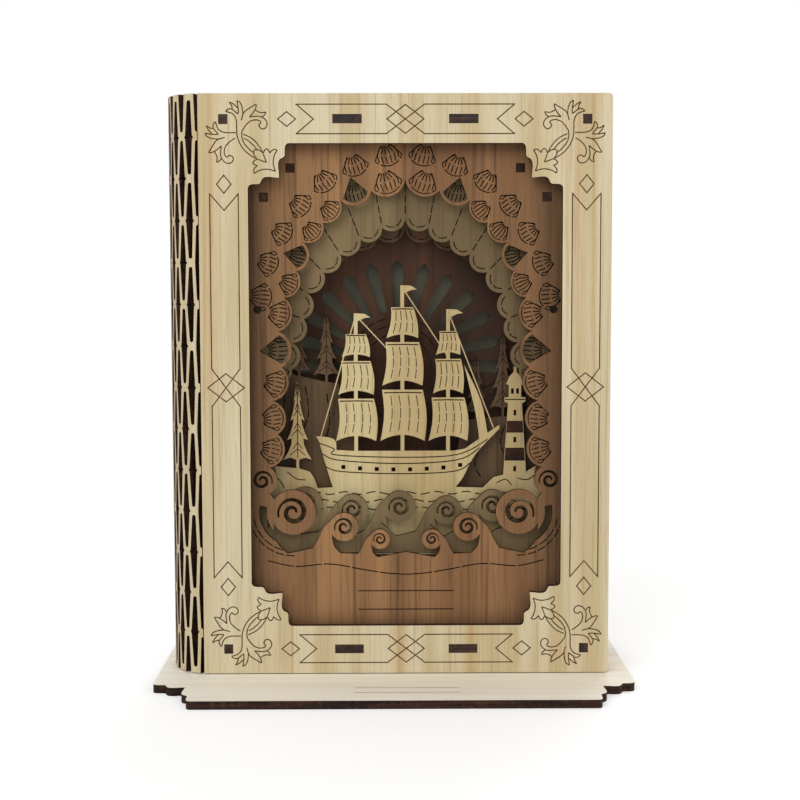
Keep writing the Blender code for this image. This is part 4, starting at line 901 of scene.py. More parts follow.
def dashes(curve, dash=DASH, space=DASH_SPACE, width=DASH_WIDTH, kind=GAP):
    """Cuts along a curve, with bridges between them that keep the sheet whole."""
    run = [Vector(point) for point in curve]
    passed = [0.0]
    for first, second in zip(run, run[1:]):
        passed.append(passed[-1] + (second - first).length)

    def spot(length):
        index = next((k for k in range(len(run) - 1) if passed[k + 1] >= length), len(run) - 2)
        return run[index].lerp(
            run[index + 1], (length - passed[index]) / (passed[index + 1] - passed[index]))

    count = max(1, round((passed[-1] + space) / (dash + space)))
    reach = (passed[-1] + space) / count
    strips = []
    for number in range(count):
        start, stop = number * reach, (number + 1) * reach - space
        steps = max(1, math.ceil((stop - start) / DASH_STEP))
        part = [tuple(spot(start + (stop - start) * k / steps)) for k in range(steps + 1)]
        strips.append((kind, ribbon(part, even(width))))
    return strips


def carved(curve, width=DASH_WIDTH):
    return [(GROOVE, ribbon(curve, even(width)))]


def shell(start, stop):
    """A scallop shell in a puff of the cloud's edge: its root, its rim and its ribs."""
    centre, radius, begin, turn = puff(start, stop)
    middle = begin - turn / 2
    root = Vector(centre) - SHELL_ROOT_SHARE * radius * Vector((math.cos(middle),
                                                                math.sin(middle)))
    rim = arc(centre, radius * SHELL_RIM_SHARE, begin - SHELL_TRIM, turn - 2 * SHELL_TRIM)
    ribs = []
    for number in range(1, SHELL_RIBS + 1):
        share = number / (SHELL_RIBS + 1)
        tip = Vector(rim[round(share * (len(rim) - 1))])
        flare = Vector((-(tip - root).y, (tip - root).x)) * (0.5 - share) * RIB_FLARE
        near, middle_rib, far = (root.lerp(tip, reach) for reach in RIB_SHARES)
        ribs.append(smooth([tuple(near), tuple(middle_rib + flare), tuple(far)],
                           COARSE_STEPS))
    return root, rim, ribs


def shell_lines(start, stop):
    root, rim, ribs = shell(start, stop)
    horns = [tuple(root.lerp(Vector(end), SHELL_HORN_SHARE)) for end in (rim[0], rim[-1])]
    cuts = dashes([horns[0], *rim, horns[1]], dash=SHELL_DASH)
    for rib in ribs:
        cuts += dashes(rib)
    return cuts


def open_shell(start, stop):
    root, rim, _ = shell(start, stop)
    return [(GAP, [tuple(root), *rim])]


def head_circle(place_share, radius_share):
    return Vector(placed([place_share])[0]), radius_share * WINDOW_HALF_WIDTH


def breaker(place_share, radius_share, back_shares=BREAKER_BACK_SHARES):
    """One wave that runs to the right: up its back, over its head and down its face."""
    middle, radius = head_circle(place_share, radius_share)
    head = arc(middle, radius, HEAD_BEGIN, HEAD_TURN, HEAD_STEPS)
    back = [tuple(middle + radius * Vector(share)) for share in back_shares]
    face = [tuple(middle + radius * Vector(share)) for share in BREAKER_FACE_SHARES]
    if back:
        back = smooth([*back, head[0]], COARSE_STEPS)[:-1]
    return back + head[:-1] + smooth([head[-1], *face], COARSE_STEPS)


def curl(centre, radius):
    """The spiral cut in a breaker's head: it narrows towards its middle."""
    run = []
    for step in range(CURL_STEPS + 1):
        share = step / CURL_STEPS
        turn = CURL_BEGIN - CURL_TURN * share
        reach = radius * (CURL_RIM_SHARE + (CURL_CORE_SHARE - CURL_RIM_SHARE) * share)
        run.append(tuple(centre + reach * Vector((math.cos(turn), math.sin(turn)))))
    return [(GAP, ribbon(run, [share * radius for share in CURL_WIDTH_SHARES]))]


def sheet_shapes(part):
    """A picture sheet with its tabs, from its own box in the frame."""
    low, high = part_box(part)
    middle_z = (low.z + high.z) / 2 - PICTURE_Z
    shapes = [(BOARD, rectangle((0, middle_z), 2 * (INNER_HALF - 2 * SAW_ROOM), high.z - low.z))]
    for share in TAB_HEIGHT_SHARES:
        middle = (0, (share * 2 - 1) * COVER_HALF_HEIGHT)
        shapes.append((BOARD, rectangle(middle, high.x - low.x, SHEET_TAB)))
    return shapes


def on_sheet(part):
    """The middle of a part, as a place on a sheet that stands in the book."""
    low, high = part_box(part)
    return (low.x + high.x) / 2 - BOOK_SHIFT, (low.z + high.z) / 2 - PICTURE_Z


def peg_holes():
    side = PEG + 2 * SAW_ROOM
    return [(GAP, rectangle(on_sheet(part), side, side)) for part in PEG_NAMES]


def paint_edge_shade(made, share, tone):
    """Painted shade: darkens the sheet towards the window's edges, which the cover's rim shades.
    """
    tree = made.node_tree
    place = node(tree, "ShaderNodeTexCoord")["Object"]
    middle = node(tree, "ShaderNodeVectorMath", {0: place, 1: (BOOK_SHIFT, 0.0, PICTURE_Z)},
                  operation="SUBTRACT")[0]
    spans = node(tree, "ShaderNodeSeparateXYZ", {
        0: node(tree, "ShaderNodeVectorMath", {0: middle}, operation="ABSOLUTE")[0]})
    aside = graded(tree, spans[X], *EDGE_SHADE_ACROSS)
    above = graded(tree, spans[Z], *EDGE_SHADE_UP)
    most = node(tree, "ShaderNodeMath", {0: aside, 1: above}, operation="MAXIMUM")[0]
    toned(made, scaled(tree, most, share), tone)


def picture_sheet(part, slot, shapes, tones):
    low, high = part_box(part)
    veneer = wood(f"{slot}_veneer", tones, Z, Y, SHEET_ROUGHNESS)
    # Paints shade into the veneer towards the window's edges
    paint_edge_shade(veneer, *tones["painted_edge_shade"])
    piece = finished(
        laser_cut([*sheet_shapes(part), *shapes, *peg_holes()], high.y - low.y),
        f"{part}_board", facing(BOOK_SHIFT, low.y, PICTURE_Z),
        [veneer, CHARRED[Y], CHARRED[Y]],
    )
    return in_place_of(piece, part)


FRAME_CLOUD_SHARES = (
    (0.90, -0.455), (0.885, -0.34), (0.83, -0.20), (0.86, -0.06), (0.80, 0.08), (0.82, 0.23),
    (0.78, 0.37), (0.70, 0.48), (0.66, 0.60), (0.53, 0.68), (0.42, 0.775), (0.22, 0.81),
    (0.0, 0.86),
)
REAR_SHELL_SHARES = (
    (0.925, 0.30), (0.905, 0.445), (0.833, 0.575), (0.726, 0.691), (0.600, 0.801),
    (0.421, 0.881), (0.215, 0.927), (0.0, 0.965),
)
OPEN_SHELLS = (4, 7, 10)
FRAME_BREAKER_SHARES = (((-0.735, -0.530), 0.147), ((-0.403, -0.593), 0.093),
                        ((-0.170, -0.645), 0.0645))
FRAME_DIP_SHARE = (0.0, -0.700)
FOAM_SHARES = (1.17, 1.50)
FOAM_SWEEP = (math.radians(12), math.radians(100))
SPRAY_SHARES = (1.75, 1.95)
SPRAY_SWEEP = (math.radians(-10), math.radians(82))
SWAG_SHARES = ((-0.90, -0.735), (-0.72, -0.76), (-0.50, -0.75), (-0.27, -0.775), (-0.12, -0.79),
               (0.0, -0.795))
LIGHT_HOLE_SHARE = (0.955, 0.32)
LIGHT_HOLE_RADIUS = 1.5 * MM
TITLE_RULE_HALF = 17.5 * MM
TITLE_RULE_LEVELS = (-75.6 * MM, -82.5 * MM)

frame_knots = placed(mirrored(FRAME_CLOUD_SHARES))
water = breaker(*FRAME_BREAKER_SHARES[0], back_shares=())
for shares in FRAME_BREAKER_SHARES[1:]:
    water += breaker(*shares)
frame_cuts = [(GAP, water + placed([FRAME_DIP_SHARE]) + flipped(water[::-1])
               + clouds(frame_knots)[1:-1])]
right_puffs = list(zip(frame_knots, frame_knots[1:]))[:len(FRAME_CLOUD_SHARES) - 1]
half_cuts = curl(*puff(*frame_knots[:2])[:2])
for number, ends in enumerate(right_puffs):
    if number in OPEN_SHELLS:
        half_cuts += open_shell(*ends)
    elif number > 0:
        half_cuts += shell_lines(*ends)
rear_knots = placed(REAR_SHELL_SHARES)
for ends in zip(rear_knots, rear_knots[1:]):
    half_cuts += shell_lines(*ends)
for shares in FRAME_BREAKER_SHARES:
    centre, radius = head_circle(*shares)
    half_cuts += [(kind, flipped(strip)) for kind, strip in curl(centre, radius)]
big_head, big_radius = head_circle(*FRAME_BREAKER_SHARES[0])
big_head = Vector((-big_head.x, big_head.y))
near_rim, far_rim = (arc(big_head, reach * big_radius, *FOAM_SWEEP) for reach in FOAM_SHARES)
half_cuts.append((GAP, far_rim + near_rim[::-1]))
for reach in SPRAY_SHARES:
    half_cuts += dashes(arc(big_head, reach * big_radius, *SPRAY_SWEEP))
swag = flipped(smooth(placed(SWAG_SHARES)))
half_cuts += dashes(swag, dash=SWAG_DASH)
frame_cuts += both_sides(half_cuts)
frame_cuts += both_sides([(GAP, arc(placed([LIGHT_HOLE_SHARE])[0], LIGHT_HOLE_RADIUS, 0.0,
                                    math.tau)[:-1])])
for level in TITLE_RULE_LEVELS:
    frame_cuts += engraved(line([(-TITLE_RULE_HALF, level), (TITLE_RULE_HALF, level)]))
picture_sheet("cloud_frame_sheet", "walnut", frame_cuts, WALNUT)


# Inner sheet: grey-beige stain. It shows through the open shells of the walnut sheet and closes
# in on the picture with a scalloped edge and a second row of breakers.
GREIGE = {
    # Painted shade towards the window's edges: how much, and its dark tone
    "painted_edge_shade": (0.35, (60, 44, 30)),
    "colours": ((130, 110, 76), (108, 89, 60), (116, 84, 50), (78, 61, 40)),
    "band": 60.0, "fibre": 700.0, "streak": 160.0, "streak_share": 0.5, "fibre_share": 0.5,
}
INNER_CLOUD_SHARES = (
    (0.93, -0.46), (0.95, -0.28), (0.97, -0.10), (0.85, 0.02), (0.74, 0.07), (0.735, 0.18),
    (0.66, 0.28), (0.64, 0.39), (0.53, 0.475), (0.42, 0.55), (0.29, 0.61), (0.15, 0.66),
    (0.0, 0.70),
)
INNER_BREAKER_SHARES = (((-0.66, -0.500), 0.110), ((-0.35, -0.525), 0.100),
                        ((-0.04, -0.515), 0.105), ((0.27, -0.530), 0.095),
                        ((0.57, -0.510), 0.105))
FOLD_RUN = (1.6 * MM, 12.0 * MM)
FOLD_AIM = Vector(placed([(0.0, 0.125)])[0])
FIRST_RINGED = 3
CREST_SHARE = 1.5
CREST_SWEEP = (math.radians(-60), math.radians(80))
PUFF_RING_SHARE = 0.70
PUFF_TRIM = 0.1

inner_knots = placed(mirrored(INNER_CLOUD_SHARES))
water = [point for shares in INNER_BREAKER_SHARES for point in breaker(*shares)]
inner_cuts = [(GAP, water + clouds(inner_knots))]
for shares in INNER_BREAKER_SHARES:
    centre, radius = head_circle(*shares)
    inner_cuts += curl(centre, radius)
    inner_cuts += dashes(arc(centre, CREST_SHARE * radius, *CREST_SWEEP))
half_cuts = []
for number, ends in enumerate(right_puffs):
    if number in OPEN_SHELLS:
        for rib in shell(*ends)[2]:
            half_cuts += dashes(rib)
inner_puffs = list(zip(inner_knots, inner_knots[1:]))
for start, stop in inner_puffs[FIRST_RINGED:len(INNER_CLOUD_SHARES) - 1]:
    centre, radius, begin, turn = puff(start, stop)
    half_cuts += dashes(
        arc(centre, PUFF_RING_SHARE * radius, begin - PUFF_TRIM, turn - 2 * PUFF_TRIM))
    outward = (Vector(stop) - FOLD_AIM).normalized()
    near, far = FOLD_RUN
    half_cuts += dashes([tuple(Vector(stop) + near * outward),
                         tuple(Vector(stop) + far * outward)])
inner_cuts += both_sides(half_cuts)
picture_sheet("inner_cloud_sheet", "greige_stain", inner_cuts, GREIGE)


# Ship sheet: plain pale plywood, the brightest sheet. A three-master under full sail, a
# lighthouse on its rock and two firs, with thin stays that tie them to the sheet.
PALE = {
    # Painted shade towards the window's edges: how much, and its dark tone
    "painted_edge_shade": (0.25, (110, 84, 54)),
    "colours": ((206, 188, 140), (186, 163, 116), (170, 128, 78), (142, 114, 72)),
    "band": 75.0, "fibre": 900.0, "streak": 260.0, "streak_share": 0.5, "fibre_share": 0.4,
}
SHIP_LENGTH = 1.00 * WINDOW_HALF_WIDTH
SHIP_HEIGHT = 0.840 * WINDOW_HALF_HEIGHT
SHIP_PLACE = Vector(placed([(-0.04, -0.42)])[0])
MAST_HALF = 0.7 * MM
STERN_SHARES = ((-0.44, -0.02), (-0.48, 0.08), (-0.53, 0.215), (-0.545, 0.24), (-0.43, 0.225),
                (-0.415, 0.17))
JIB_FOOT_SHARES = ((0.36, 0.165), (0.43, 0.175), (0.525, 0.225))
JIB_LUFF_SHARES = (JIB_FOOT_SHARES[-1], (0.500, 0.36), (0.425, 0.60))
JIB_LEECH_SHARES = (JIB_LUFF_SHARES[-1], (0.535, 0.42), (0.580, 0.255))
BOWSPRIT_SHARES = ((0.655, 0.295), (0.660, 0.278))
STEM_SHARES = ((0.660, 0.278), (0.50, 0.145), (0.42, 0.03), (0.37, -0.02))
# Each mast: its place, its top, then its sails as foot, head, half width at the foot and head
MAST_SHARES = (
    (-0.285, 0.86, ((0.215, 0.43, 0.132, 0.118), (0.45, 0.62, 0.116, 0.096),
                    (0.64, 0.755, 0.092, 0.066))),
    (0.02, 1.0, ((0.215, 0.475, 0.146, 0.134), (0.495, 0.715, 0.132, 0.110),
                 (0.735, 0.89, 0.104, 0.072))),
    (0.32, 0.88, ((0.215, 0.435, 0.128, 0.108), (0.455, 0.63, 0.098, 0.084),
                  (0.65, 0.77, 0.080, 0.056))),
)
PENNANT_SHARES = ((0.045, 0.002), (0.085, 0.020), (0.045, 0.024), (0.0, 0.040))
DECK_SHARE = 0.165
SAIL_HOLLOW_SHARE = 0.12
SAIL_BELLY_SHARE = 0.14
SEAM_SHARES = (-0.62, -0.22, 0.22, 0.62)
SEAM_LEVELS = (0.10, 0.3, 0.5, 0.7, 0.88)
HEM_SHARES = (0.25, 0.5, 0.75, 1.0)
LEECH_LEVELS = (0.2, 0.4, 0.6, 0.8, 1.0)
SEAM_WIDTH = 0.3 * MM
YARD_SHARES = (-0.92, 0.0, 0.92)
YARD_LEVEL = 0.94
YARD_WIDTH = 0.45 * MM
STAY_WIDTH = 0.42 * MM
STAY_SHARES = (((0.32, 0.87), (0.62, 0.28)), ((0.02, 0.99), (0.32, 0.64)),
               ((-0.285, 0.85), (0.02, 0.60)), ((-0.285, 0.85), (-0.52, 0.23)))
WALE_SHARES = (((-0.505, 0.150), (-0.40, 0.118), (0.0, 0.100), (0.38, 0.118), (0.53, 0.180)),
               ((-0.485, 0.085), (-0.38, 0.060), (0.0, 0.048), (0.36, 0.060), (0.47, 0.105)),
               ((-0.530, 0.205), (-0.43, 0.175), (-0.42, 0.145), (0.0, 0.132), (0.38, 0.145),
                (0.58, 0.222)))
PORT_SHARES = ((-0.37, 0.083), (-0.26, 0.076), (-0.15, 0.072), (-0.04, 0.070), (0.07, 0.070),
               (0.18, 0.073), (0.29, 0.079), (0.40, 0.092))
PORT_SIZE = 1.5 * MM
FIR_TIERS = 4
FIR_TRUNK_SHARE = 0.10
FIR_TUCK_SHARE = 0.45
FIR_BOUGH_SHARES = ((0.55, 0.10), (1.0, 0.0), (0.68, 0.38))
FIR_LINE_SHARES = (0.12, 0.92)
FIR_TWIG_REACH = 0.72
FIR_TWIG_RISE = 0.33
FIR_TWIG_LEVELS = (0.22, 0.55)
SHIP_FIR_SHARES = (((-0.87, -0.345), 0.250, 0.066), ((-0.71, -0.355), 0.370, 0.092))
LIGHTHOUSE_WIDTH = 0.66 * WINDOW_HALF_WIDTH
LIGHTHOUSE_HEIGHT = 0.461 * WINDOW_HALF_HEIGHT
LIGHTHOUSE_FOOT = Vector(placed([(0.72, -0.385)])[0])
LIGHTHOUSE_SHARES = (
    (0.115, 0.0), (0.070, 0.66), (0.105, 0.68), (0.105, 0.715), (0.062, 0.72), (0.062, 0.83),
    (0.090, 0.84), (0.055, 0.91), (0.015, 0.95), (0.015, 1.0),
)
LIGHTHOUSE_BANDS = ((0.13, 0.25), (0.39, 0.50))
BAND_HALF_SHARE = 0.96
LIGHTHOUSE_PANE = (1.0 * MM, 2.0 * MM)
GALLERY_SHARES = ((-0.10, 0.697), (0.10, 0.697))
LIGHTHOUSE_PANES = ((-0.026, 0.775), (0.026, 0.775), (0.0, 0.325), (0.0, 0.575), (0.0, 0.055))
ROCK_LEFT_SHARES = ((-0.945, -0.335),)
ROCK_LEFT_END_SHARES = ((-0.63, -0.37), (-0.60, -0.40), (-0.58, -0.44))
ROCK_RIGHT_SHARES = ((0.51, -0.44), (0.58, -0.395))
ROCK_RIGHT_END_SHARES = ((0.80, -0.37), (0.90, -0.33))
ROCK_LINE_SHARES = (((-0.92, -0.38), (-0.84, -0.40), (-0.80, -0.44)),
                    ((-0.78, -0.37), (-0.72, -0.40), (-0.66, -0.405)),
                    ((0.60, -0.42), (0.66, -0.405), (0.70, -0.43)),
                    ((0.74, -0.40), (0.81, -0.405), (0.88, -0.37)))
SHIP_TOP_SHARES = ((0.90, 0.30), (0.82, 0.43), (0.72, 0.54), (0.56, 0.63), (0.40, 0.71),
                   (0.20, 0.76), (0.0, 0.80))
RIPPLE_LEVEL_SHARES = (-0.462, -0.495, -0.528)
RIPPLE_START_SHARE = -0.80
RIPPLE_PITCH_SHARE = 0.1
RIPPLE_HEIGHT_SHARE = 0.006
RIPPLES = 16
RIPPLE_SPACE = 1.6 * MM


def on_ship(shares):
    return [tuple(SHIP_PLACE + Vector((x * SHIP_LENGTH, y * SHIP_HEIGHT))) for x, y in shares]


def sail_point(sail, aside, up):
    """A spot on a sail that the wind fills to the right: aside runs from -1 to 1."""
    foot, head, foot_half, head_half = sail
    half = foot_half + (head_half - foot_half) * up
    belly = (foot_half + head_half) / 2 * SAIL_BELLY_SHARE * math.sin(math.pi * up)
    hollow = (head - foot) * SAIL_HOLLOW_SHARE * (1 - aside**2) * (1 - up)
    return half * aside + belly, foot + (head - foot) * up + hollow


def sail_side(sail, side):
    hem = [sail_point(sail, side * share, 0.0) for share in HEM_SHARES]
    return hem + [sail_point(sail, side, up) for up in LEECH_LEVELS]


def mast_side(place, sails, side):
    middle = place * SHIP_LENGTH
    points = [(middle + side * MAST_HALF, DECK_SHARE * SHIP_HEIGHT)]
    for sail in sails:
        hem_level = sail_point(sail, 0.0, 0.0)[1] * SHIP_HEIGHT
        points.append((middle + side * MAST_HALF, hem_level))
        points += [(middle + x * SHIP_LENGTH, y * SHIP_HEIGHT) for x, y in sail_side(sail, side)]
        points.append((middle + side * MAST_HALF, sail[1] * SHIP_HEIGHT))
    return [tuple(SHIP_PLACE + Vector(point)) for point in points]


def mast(place, top, sails):
    """Up the windward edge of a mast, round its pennant and down the side its sails fill."""
    tip = [(place * SHIP_LENGTH + side * MAST_HALF, top * SHIP_HEIGHT) for side in (-1, 1)]
    for along, down in PENNANT_SHARES:
        tip.append((tip[1][0] + along * SHIP_LENGTH, (top - down) * SHIP_HEIGHT))
    tip = [tuple(SHIP_PLACE + Vector(point)) for point in tip]
    return mast_side(place, sails, -1) + tip + mast_side(place, sails, 1)[::-1]


def sail_lines(place, sails):
    lines = []
    for sail in sails:
        for aside in SEAM_SHARES:
            seam = [sail_point(sail, aside, up) for up in SEAM_LEVELS]
            lines += dashes(smooth(on_ship([(place + x, y) for x, y in seam]), SAIL_STEPS),
                            width=SEAM_WIDTH, kind=GROOVE)
        yard = [sail_point(sail, aside, YARD_LEVEL) for aside in YARD_SHARES]
        lines += carved(on_ship([(place + x, y) for x, y in yard]), YARD_WIDTH)
    return lines


def fir(foot, height_share, half_share):
    """A fir tree's edge, in shares of the window: zigzag up its left side and down its right."""
    across, up = placed([foot])[0]
    height = height_share * WINDOW_HALF_HEIGHT
    half = half_share * WINDOW_HALF_WIDTH
    tier = height * (1 - FIR_TRUNK_SHARE) / FIR_TIERS
    left = [(half * FIR_TRUNK_SHARE, 0.0), (half * FIR_TRUNK_SHARE, height * FIR_TRUNK_SHARE)]
    for number in range(FIR_TIERS):
        width = half * (1 - number / FIR_TIERS)
        low = height * FIR_TRUNK_SHARE + number * tier
        left += [(width * out, low + rise * tier) for out, rise in FIR_BOUGH_SHARES]
        left.append((width * FIR_TUCK_SHARE, low + tier * (1 - FIR_TUCK_SHARE / 2)))
    left[-1] = (0.0, height)
    right = [(across + x, up + y) for x, y in reversed(left[:-1])]
    return [(across - x, up + y) for x, y in left] + right


def fir_lines(foot, height_share, half_share):
    """The engraved trunk and boughs of a fir."""
    across, up = placed([foot])[0]
    height = height_share * WINDOW_HALF_HEIGHT
    half = half_share * WINDOW_HALF_WIDTH
    tier = height * (1 - FIR_TRUNK_SHARE) / FIR_TIERS
    lines = carved([(across, up + share * height) for share in FIR_LINE_SHARES], SEAM_WIDTH)
    for number in range(FIR_TIERS):
        reach = FIR_TWIG_REACH * half * (1 - number / FIR_TIERS)
        low = up + height * FIR_TRUNK_SHARE + number * tier
        for side in (-1, 1):
            for lift in FIR_TWIG_LEVELS:
                twig = [(across, low + (lift + FIR_TWIG_RISE) * tier),
                        (across + side * reach * (1 - lift), low + lift * tier)]
                lines += carved(twig, SEAM_WIDTH)
    return lines


def on_tower(x, y):
    return tuple(LIGHTHOUSE_FOOT + Vector((x * LIGHTHOUSE_WIDTH, y * LIGHTHOUSE_HEIGHT)))


def tower_half(y):
    low, high = LIGHTHOUSE_SHARES[:2]
    return low[0] + (high[0] - low[0]) * y / high[1]


hull = smooth(on_ship(STERN_SHARES), SAIL_STEPS)
for place, top, sails in MAST_SHARES:
    hull += mast(place, top, sails)
hull += on_ship(JIB_FOOT_SHARES)
for shares in (JIB_LUFF_SHARES, JIB_LEECH_SHARES):
    hull += smooth(on_ship(shares), COARSE_STEPS)[1:]
hull += on_ship(BOWSPRIT_SHARES) + smooth(on_ship(STEM_SHARES), COARSE_STEPS)[1:]
tower = [on_tower(-x, y) for x, y in LIGHTHOUSE_SHARES]
tower += [on_tower(x, y) for x, y in reversed(LIGHTHOUSE_SHARES)]
pines = [point for shares in SHIP_FIR_SHARES for point in fir(*shares)]
ship_edge = placed(ROCK_LEFT_SHARES) + pines + placed(ROCK_LEFT_END_SHARES) + hull
ship_edge += placed(ROCK_RIGHT_SHARES) + tower + placed(ROCK_RIGHT_END_SHARES)
ship_cuts = [(GAP, ship_edge + clouds(placed(mirrored(SHIP_TOP_SHARES))))]
for stay in STAY_SHARES:
    ship_cuts.append((BOARD, ribbon(on_ship(stay), even(STAY_WIDTH))))
for place, _, sails in MAST_SHARES:
    ship_cuts += sail_lines(place, sails)
for wale in WALE_SHARES:
    ship_cuts += carved(smooth(on_ship(wale)))
for spot in on_ship(PORT_SHARES):
    ship_cuts.append((GAP, rectangle(spot, PORT_SIZE, PORT_SIZE)))
for shares in SHIP_FIR_SHARES:
    ship_cuts += fir_lines(*shares)
for low, high in LIGHTHOUSE_BANDS:
    ship_cuts.append((GROOVE, [on_tower(side * tower_half(level), level) for side, level in
                               ((-BAND_HALF_SHARE, low), (BAND_HALF_SHARE, low),
                                (BAND_HALF_SHARE, high), (-BAND_HALF_SHARE, high))]))
for x, y in LIGHTHOUSE_PANES:
    ship_cuts.append((GAP, rectangle(on_tower(x, y), *LIGHTHOUSE_PANE)))
ship_cuts += carved([on_tower(*share) for share in GALLERY_SHARES])
for run in ROCK_LINE_SHARES:
    ship_cuts += carved(smooth(placed(run)))
for number, level in enumerate(RIPPLE_LEVEL_SHARES):
    start = RIPPLE_START_SHARE + RIPPLE_PITCH_SHARE / 2 * number
    ripple = [(start + RIPPLE_PITCH_SHARE * step, level + RIPPLE_HEIGHT_SHARE * (-1) ** step)
              for step in range(RIPPLES)]
    ship_cuts += dashes(smooth(placed(ripple), COARSE_STEPS), space=RIPPLE_SPACE)
picture_sheet("ship_sheet", "pale_basswood", ship_cuts, PALE)


# Headland sheet: slate-brown stain. Firs stand on a cliff at either side under a cloud's edge.
SLATE = {
    # Painted shade towards the window's edges: how much, and its dark tone
    "painted_edge_shade": (0.3, (44, 32, 22)),
    "colours": ((98, 76, 50), (78, 58, 38), (102, 66, 38), (46, 33, 22)),
    "band": 60.0, "fibre": 700.0, "streak": 140.0, "streak_share": 0.6, "fibre_share": 0.55,
}
HEADLAND_LEFT_SHARES = ((-0.92, 0.16), (-0.84, 0.13), (-0.78, 0.05))
HEADLAND_FALL_SHARES = ((-0.44, 0.0), (-0.41, -0.12), (-0.35, -0.20), (-0.33, -0.36))
HEADLAND_RISE_SHARES = ((0.33, -0.36), (0.36, -0.22), (0.40, -0.155))
HEADLAND_RIGHT_SHARES = ((0.925, -0.13), (0.93, 0.02))
HEADLAND_LEFT_FIR_SHARES = (((-0.70, 0.035), 0.230, 0.075), ((-0.52, 0.010), 0.300, 0.088))
HEADLAND_RIGHT_FIR_SHARES = (((0.47, -0.15), 0.270, 0.082), ((0.645, -0.14), 0.370, 0.090),
                             ((0.83, -0.13), 0.290, 0.078))
HEADLAND_TOP_SHARES = ((0.92, 0.28), (0.78, 0.36), (0.66, 0.46), (0.50, 0.52), (0.36, 0.59),
                       (0.18, 0.62), (0.0, 0.66))
HEADLAND_RING_SHARE = 0.80
CLIFF_SHARES = (((-0.86, 0.05), (-0.80, -0.06), (-0.82, -0.20), (-0.76, -0.32)),
                ((-0.66, -0.01), (-0.64, -0.12), (-0.68, -0.22), (-0.64, -0.33)),
                ((-0.52, -0.04), (-0.50, -0.16), (-0.53, -0.26), (-0.48, -0.37)),
                ((0.48, -0.19), (0.50, -0.26), (0.46, -0.34), (0.50, -0.40)),
                ((0.66, -0.18), (0.63, -0.25), (0.67, -0.33), (0.64, -0.40)))

headland_edge = placed(HEADLAND_LEFT_SHARES)
headland_edge += [point for shares in HEADLAND_LEFT_FIR_SHARES for point in fir(*shares)]
headland_edge += placed(HEADLAND_FALL_SHARES) + placed(HEADLAND_RISE_SHARES)
headland_edge += [point for shares in HEADLAND_RIGHT_FIR_SHARES for point in fir(*shares)]
headland_edge += placed(HEADLAND_RIGHT_SHARES)
headland_knots = placed(mirrored(HEADLAND_TOP_SHARES))
headland_cuts = [(GAP, headland_edge + clouds(headland_knots))]
for shares in HEADLAND_LEFT_FIR_SHARES + HEADLAND_RIGHT_FIR_SHARES:
    headland_cuts += fir_lines(*shares)
for run in CLIFF_SHARES:
    headland_cuts += dashes(smooth(placed(run)))
for ends in zip(headland_knots, headland_knots[1:]):
    centre, radius, begin, turn = puff(*ends)
    headland_cuts += dashes(
        arc(centre, HEADLAND_RING_SHARE * radius, begin - PUFF_TRIM, turn - 2 * PUFF_TRIM))
picture_sheet("headland_sheet", "slate_stain", headland_cuts, SLATE)


# Mountain sheet: the rear one, stained dark brown. Slots burst from a sun behind the ship and let
# the diffuser's light through, over engraved ranges of hills.
DARK = {
    # Painted shade towards the window's edges: how much, and its dark tone
    "painted_edge_shade": (0.3, (34, 22, 15)),
    "colours": ((74, 45, 25), (55, 33, 19), (90, 53, 28), (30, 19, 12)),
    "band": 60.0, "fibre": 700.0, "streak": 140.0, "streak_share": 0.6, "fibre_share": 0.55,
}
SUN_SHARE = (-0.05, 0.07)
SUN_RADIUS_SHARE = 0.37
RAY_END_SHARE = 0.66
RAY_TIP_SHARE = 0.71
RAYS = 24
RAY_OPEN_SHARE = 0.52
RAYS_SHOWN = 13
SUN_RING_SHARES = (0.33, 0.28, 0.22)
SUN_RING_STEPS = 24
HILL_DASH = 6.0 * MM
SLOPE_SHIFT = (0.03, -0.035)
SLOPE_DASH, SLOPE_SPACE = 2.0 * MM, 1.8 * MM
HILL_SHARES = (((-0.95, -0.02), (-0.80, 0.06), (-0.62, -0.01), (-0.46, 0.035), (-0.30, -0.04)),
               ((-0.60, -0.09), (-0.38, -0.04), (-0.20, -0.10), (0.0, -0.05), (0.22, -0.11)),
               ((0.15, -0.03), (0.34, 0.03), (0.52, -0.02), (0.72, 0.05), (0.93, -0.01)),
               ((-0.30, -0.16), (-0.10, -0.13), (0.12, -0.18), (0.34, -0.13), (0.50, -0.17)))


def sunburst():
    across, up = placed([SUN_SHARE])[0]
    slots = []
    for number in range(RAYS_SHOWN):
        turn = math.tau * number / RAYS
        half = math.tau / RAYS / 2 * RAY_OPEN_SHARE
        corners = ((SUN_RADIUS_SHARE, -half), (RAY_END_SHARE, -half), (RAY_TIP_SHARE, 0.0),
                   (RAY_END_SHARE, half), (SUN_RADIUS_SHARE, half))
        slots.append([(across + reach * WINDOW_HALF_WIDTH * math.cos(turn + aside),
                       up + reach * WINDOW_HALF_WIDTH * math.sin(turn + aside))
                      for reach, aside in corners])
    return slots


mountain_cuts = [(GAP, slot) for slot in sunburst()]
for share in SUN_RING_SHARES:
    mountain_cuts += dashes(arc(placed([SUN_SHARE])[0], share * WINDOW_HALF_WIDTH, math.pi,
                                math.pi, SUN_RING_STEPS))
for run in HILL_SHARES:
    mountain_cuts += dashes(smooth(placed(run)), dash=HILL_DASH)
    slope = placed([(x + SLOPE_SHIFT[0], y + SLOPE_SHIFT[1]) for x, y in run[1:-1]])
    mountain_cuts += dashes(smooth(slope), SLOPE_DASH, SLOPE_SPACE, kind=GROOVE)
picture_sheet("mountain_sheet", "dark_stain", mountain_cuts, DARK)


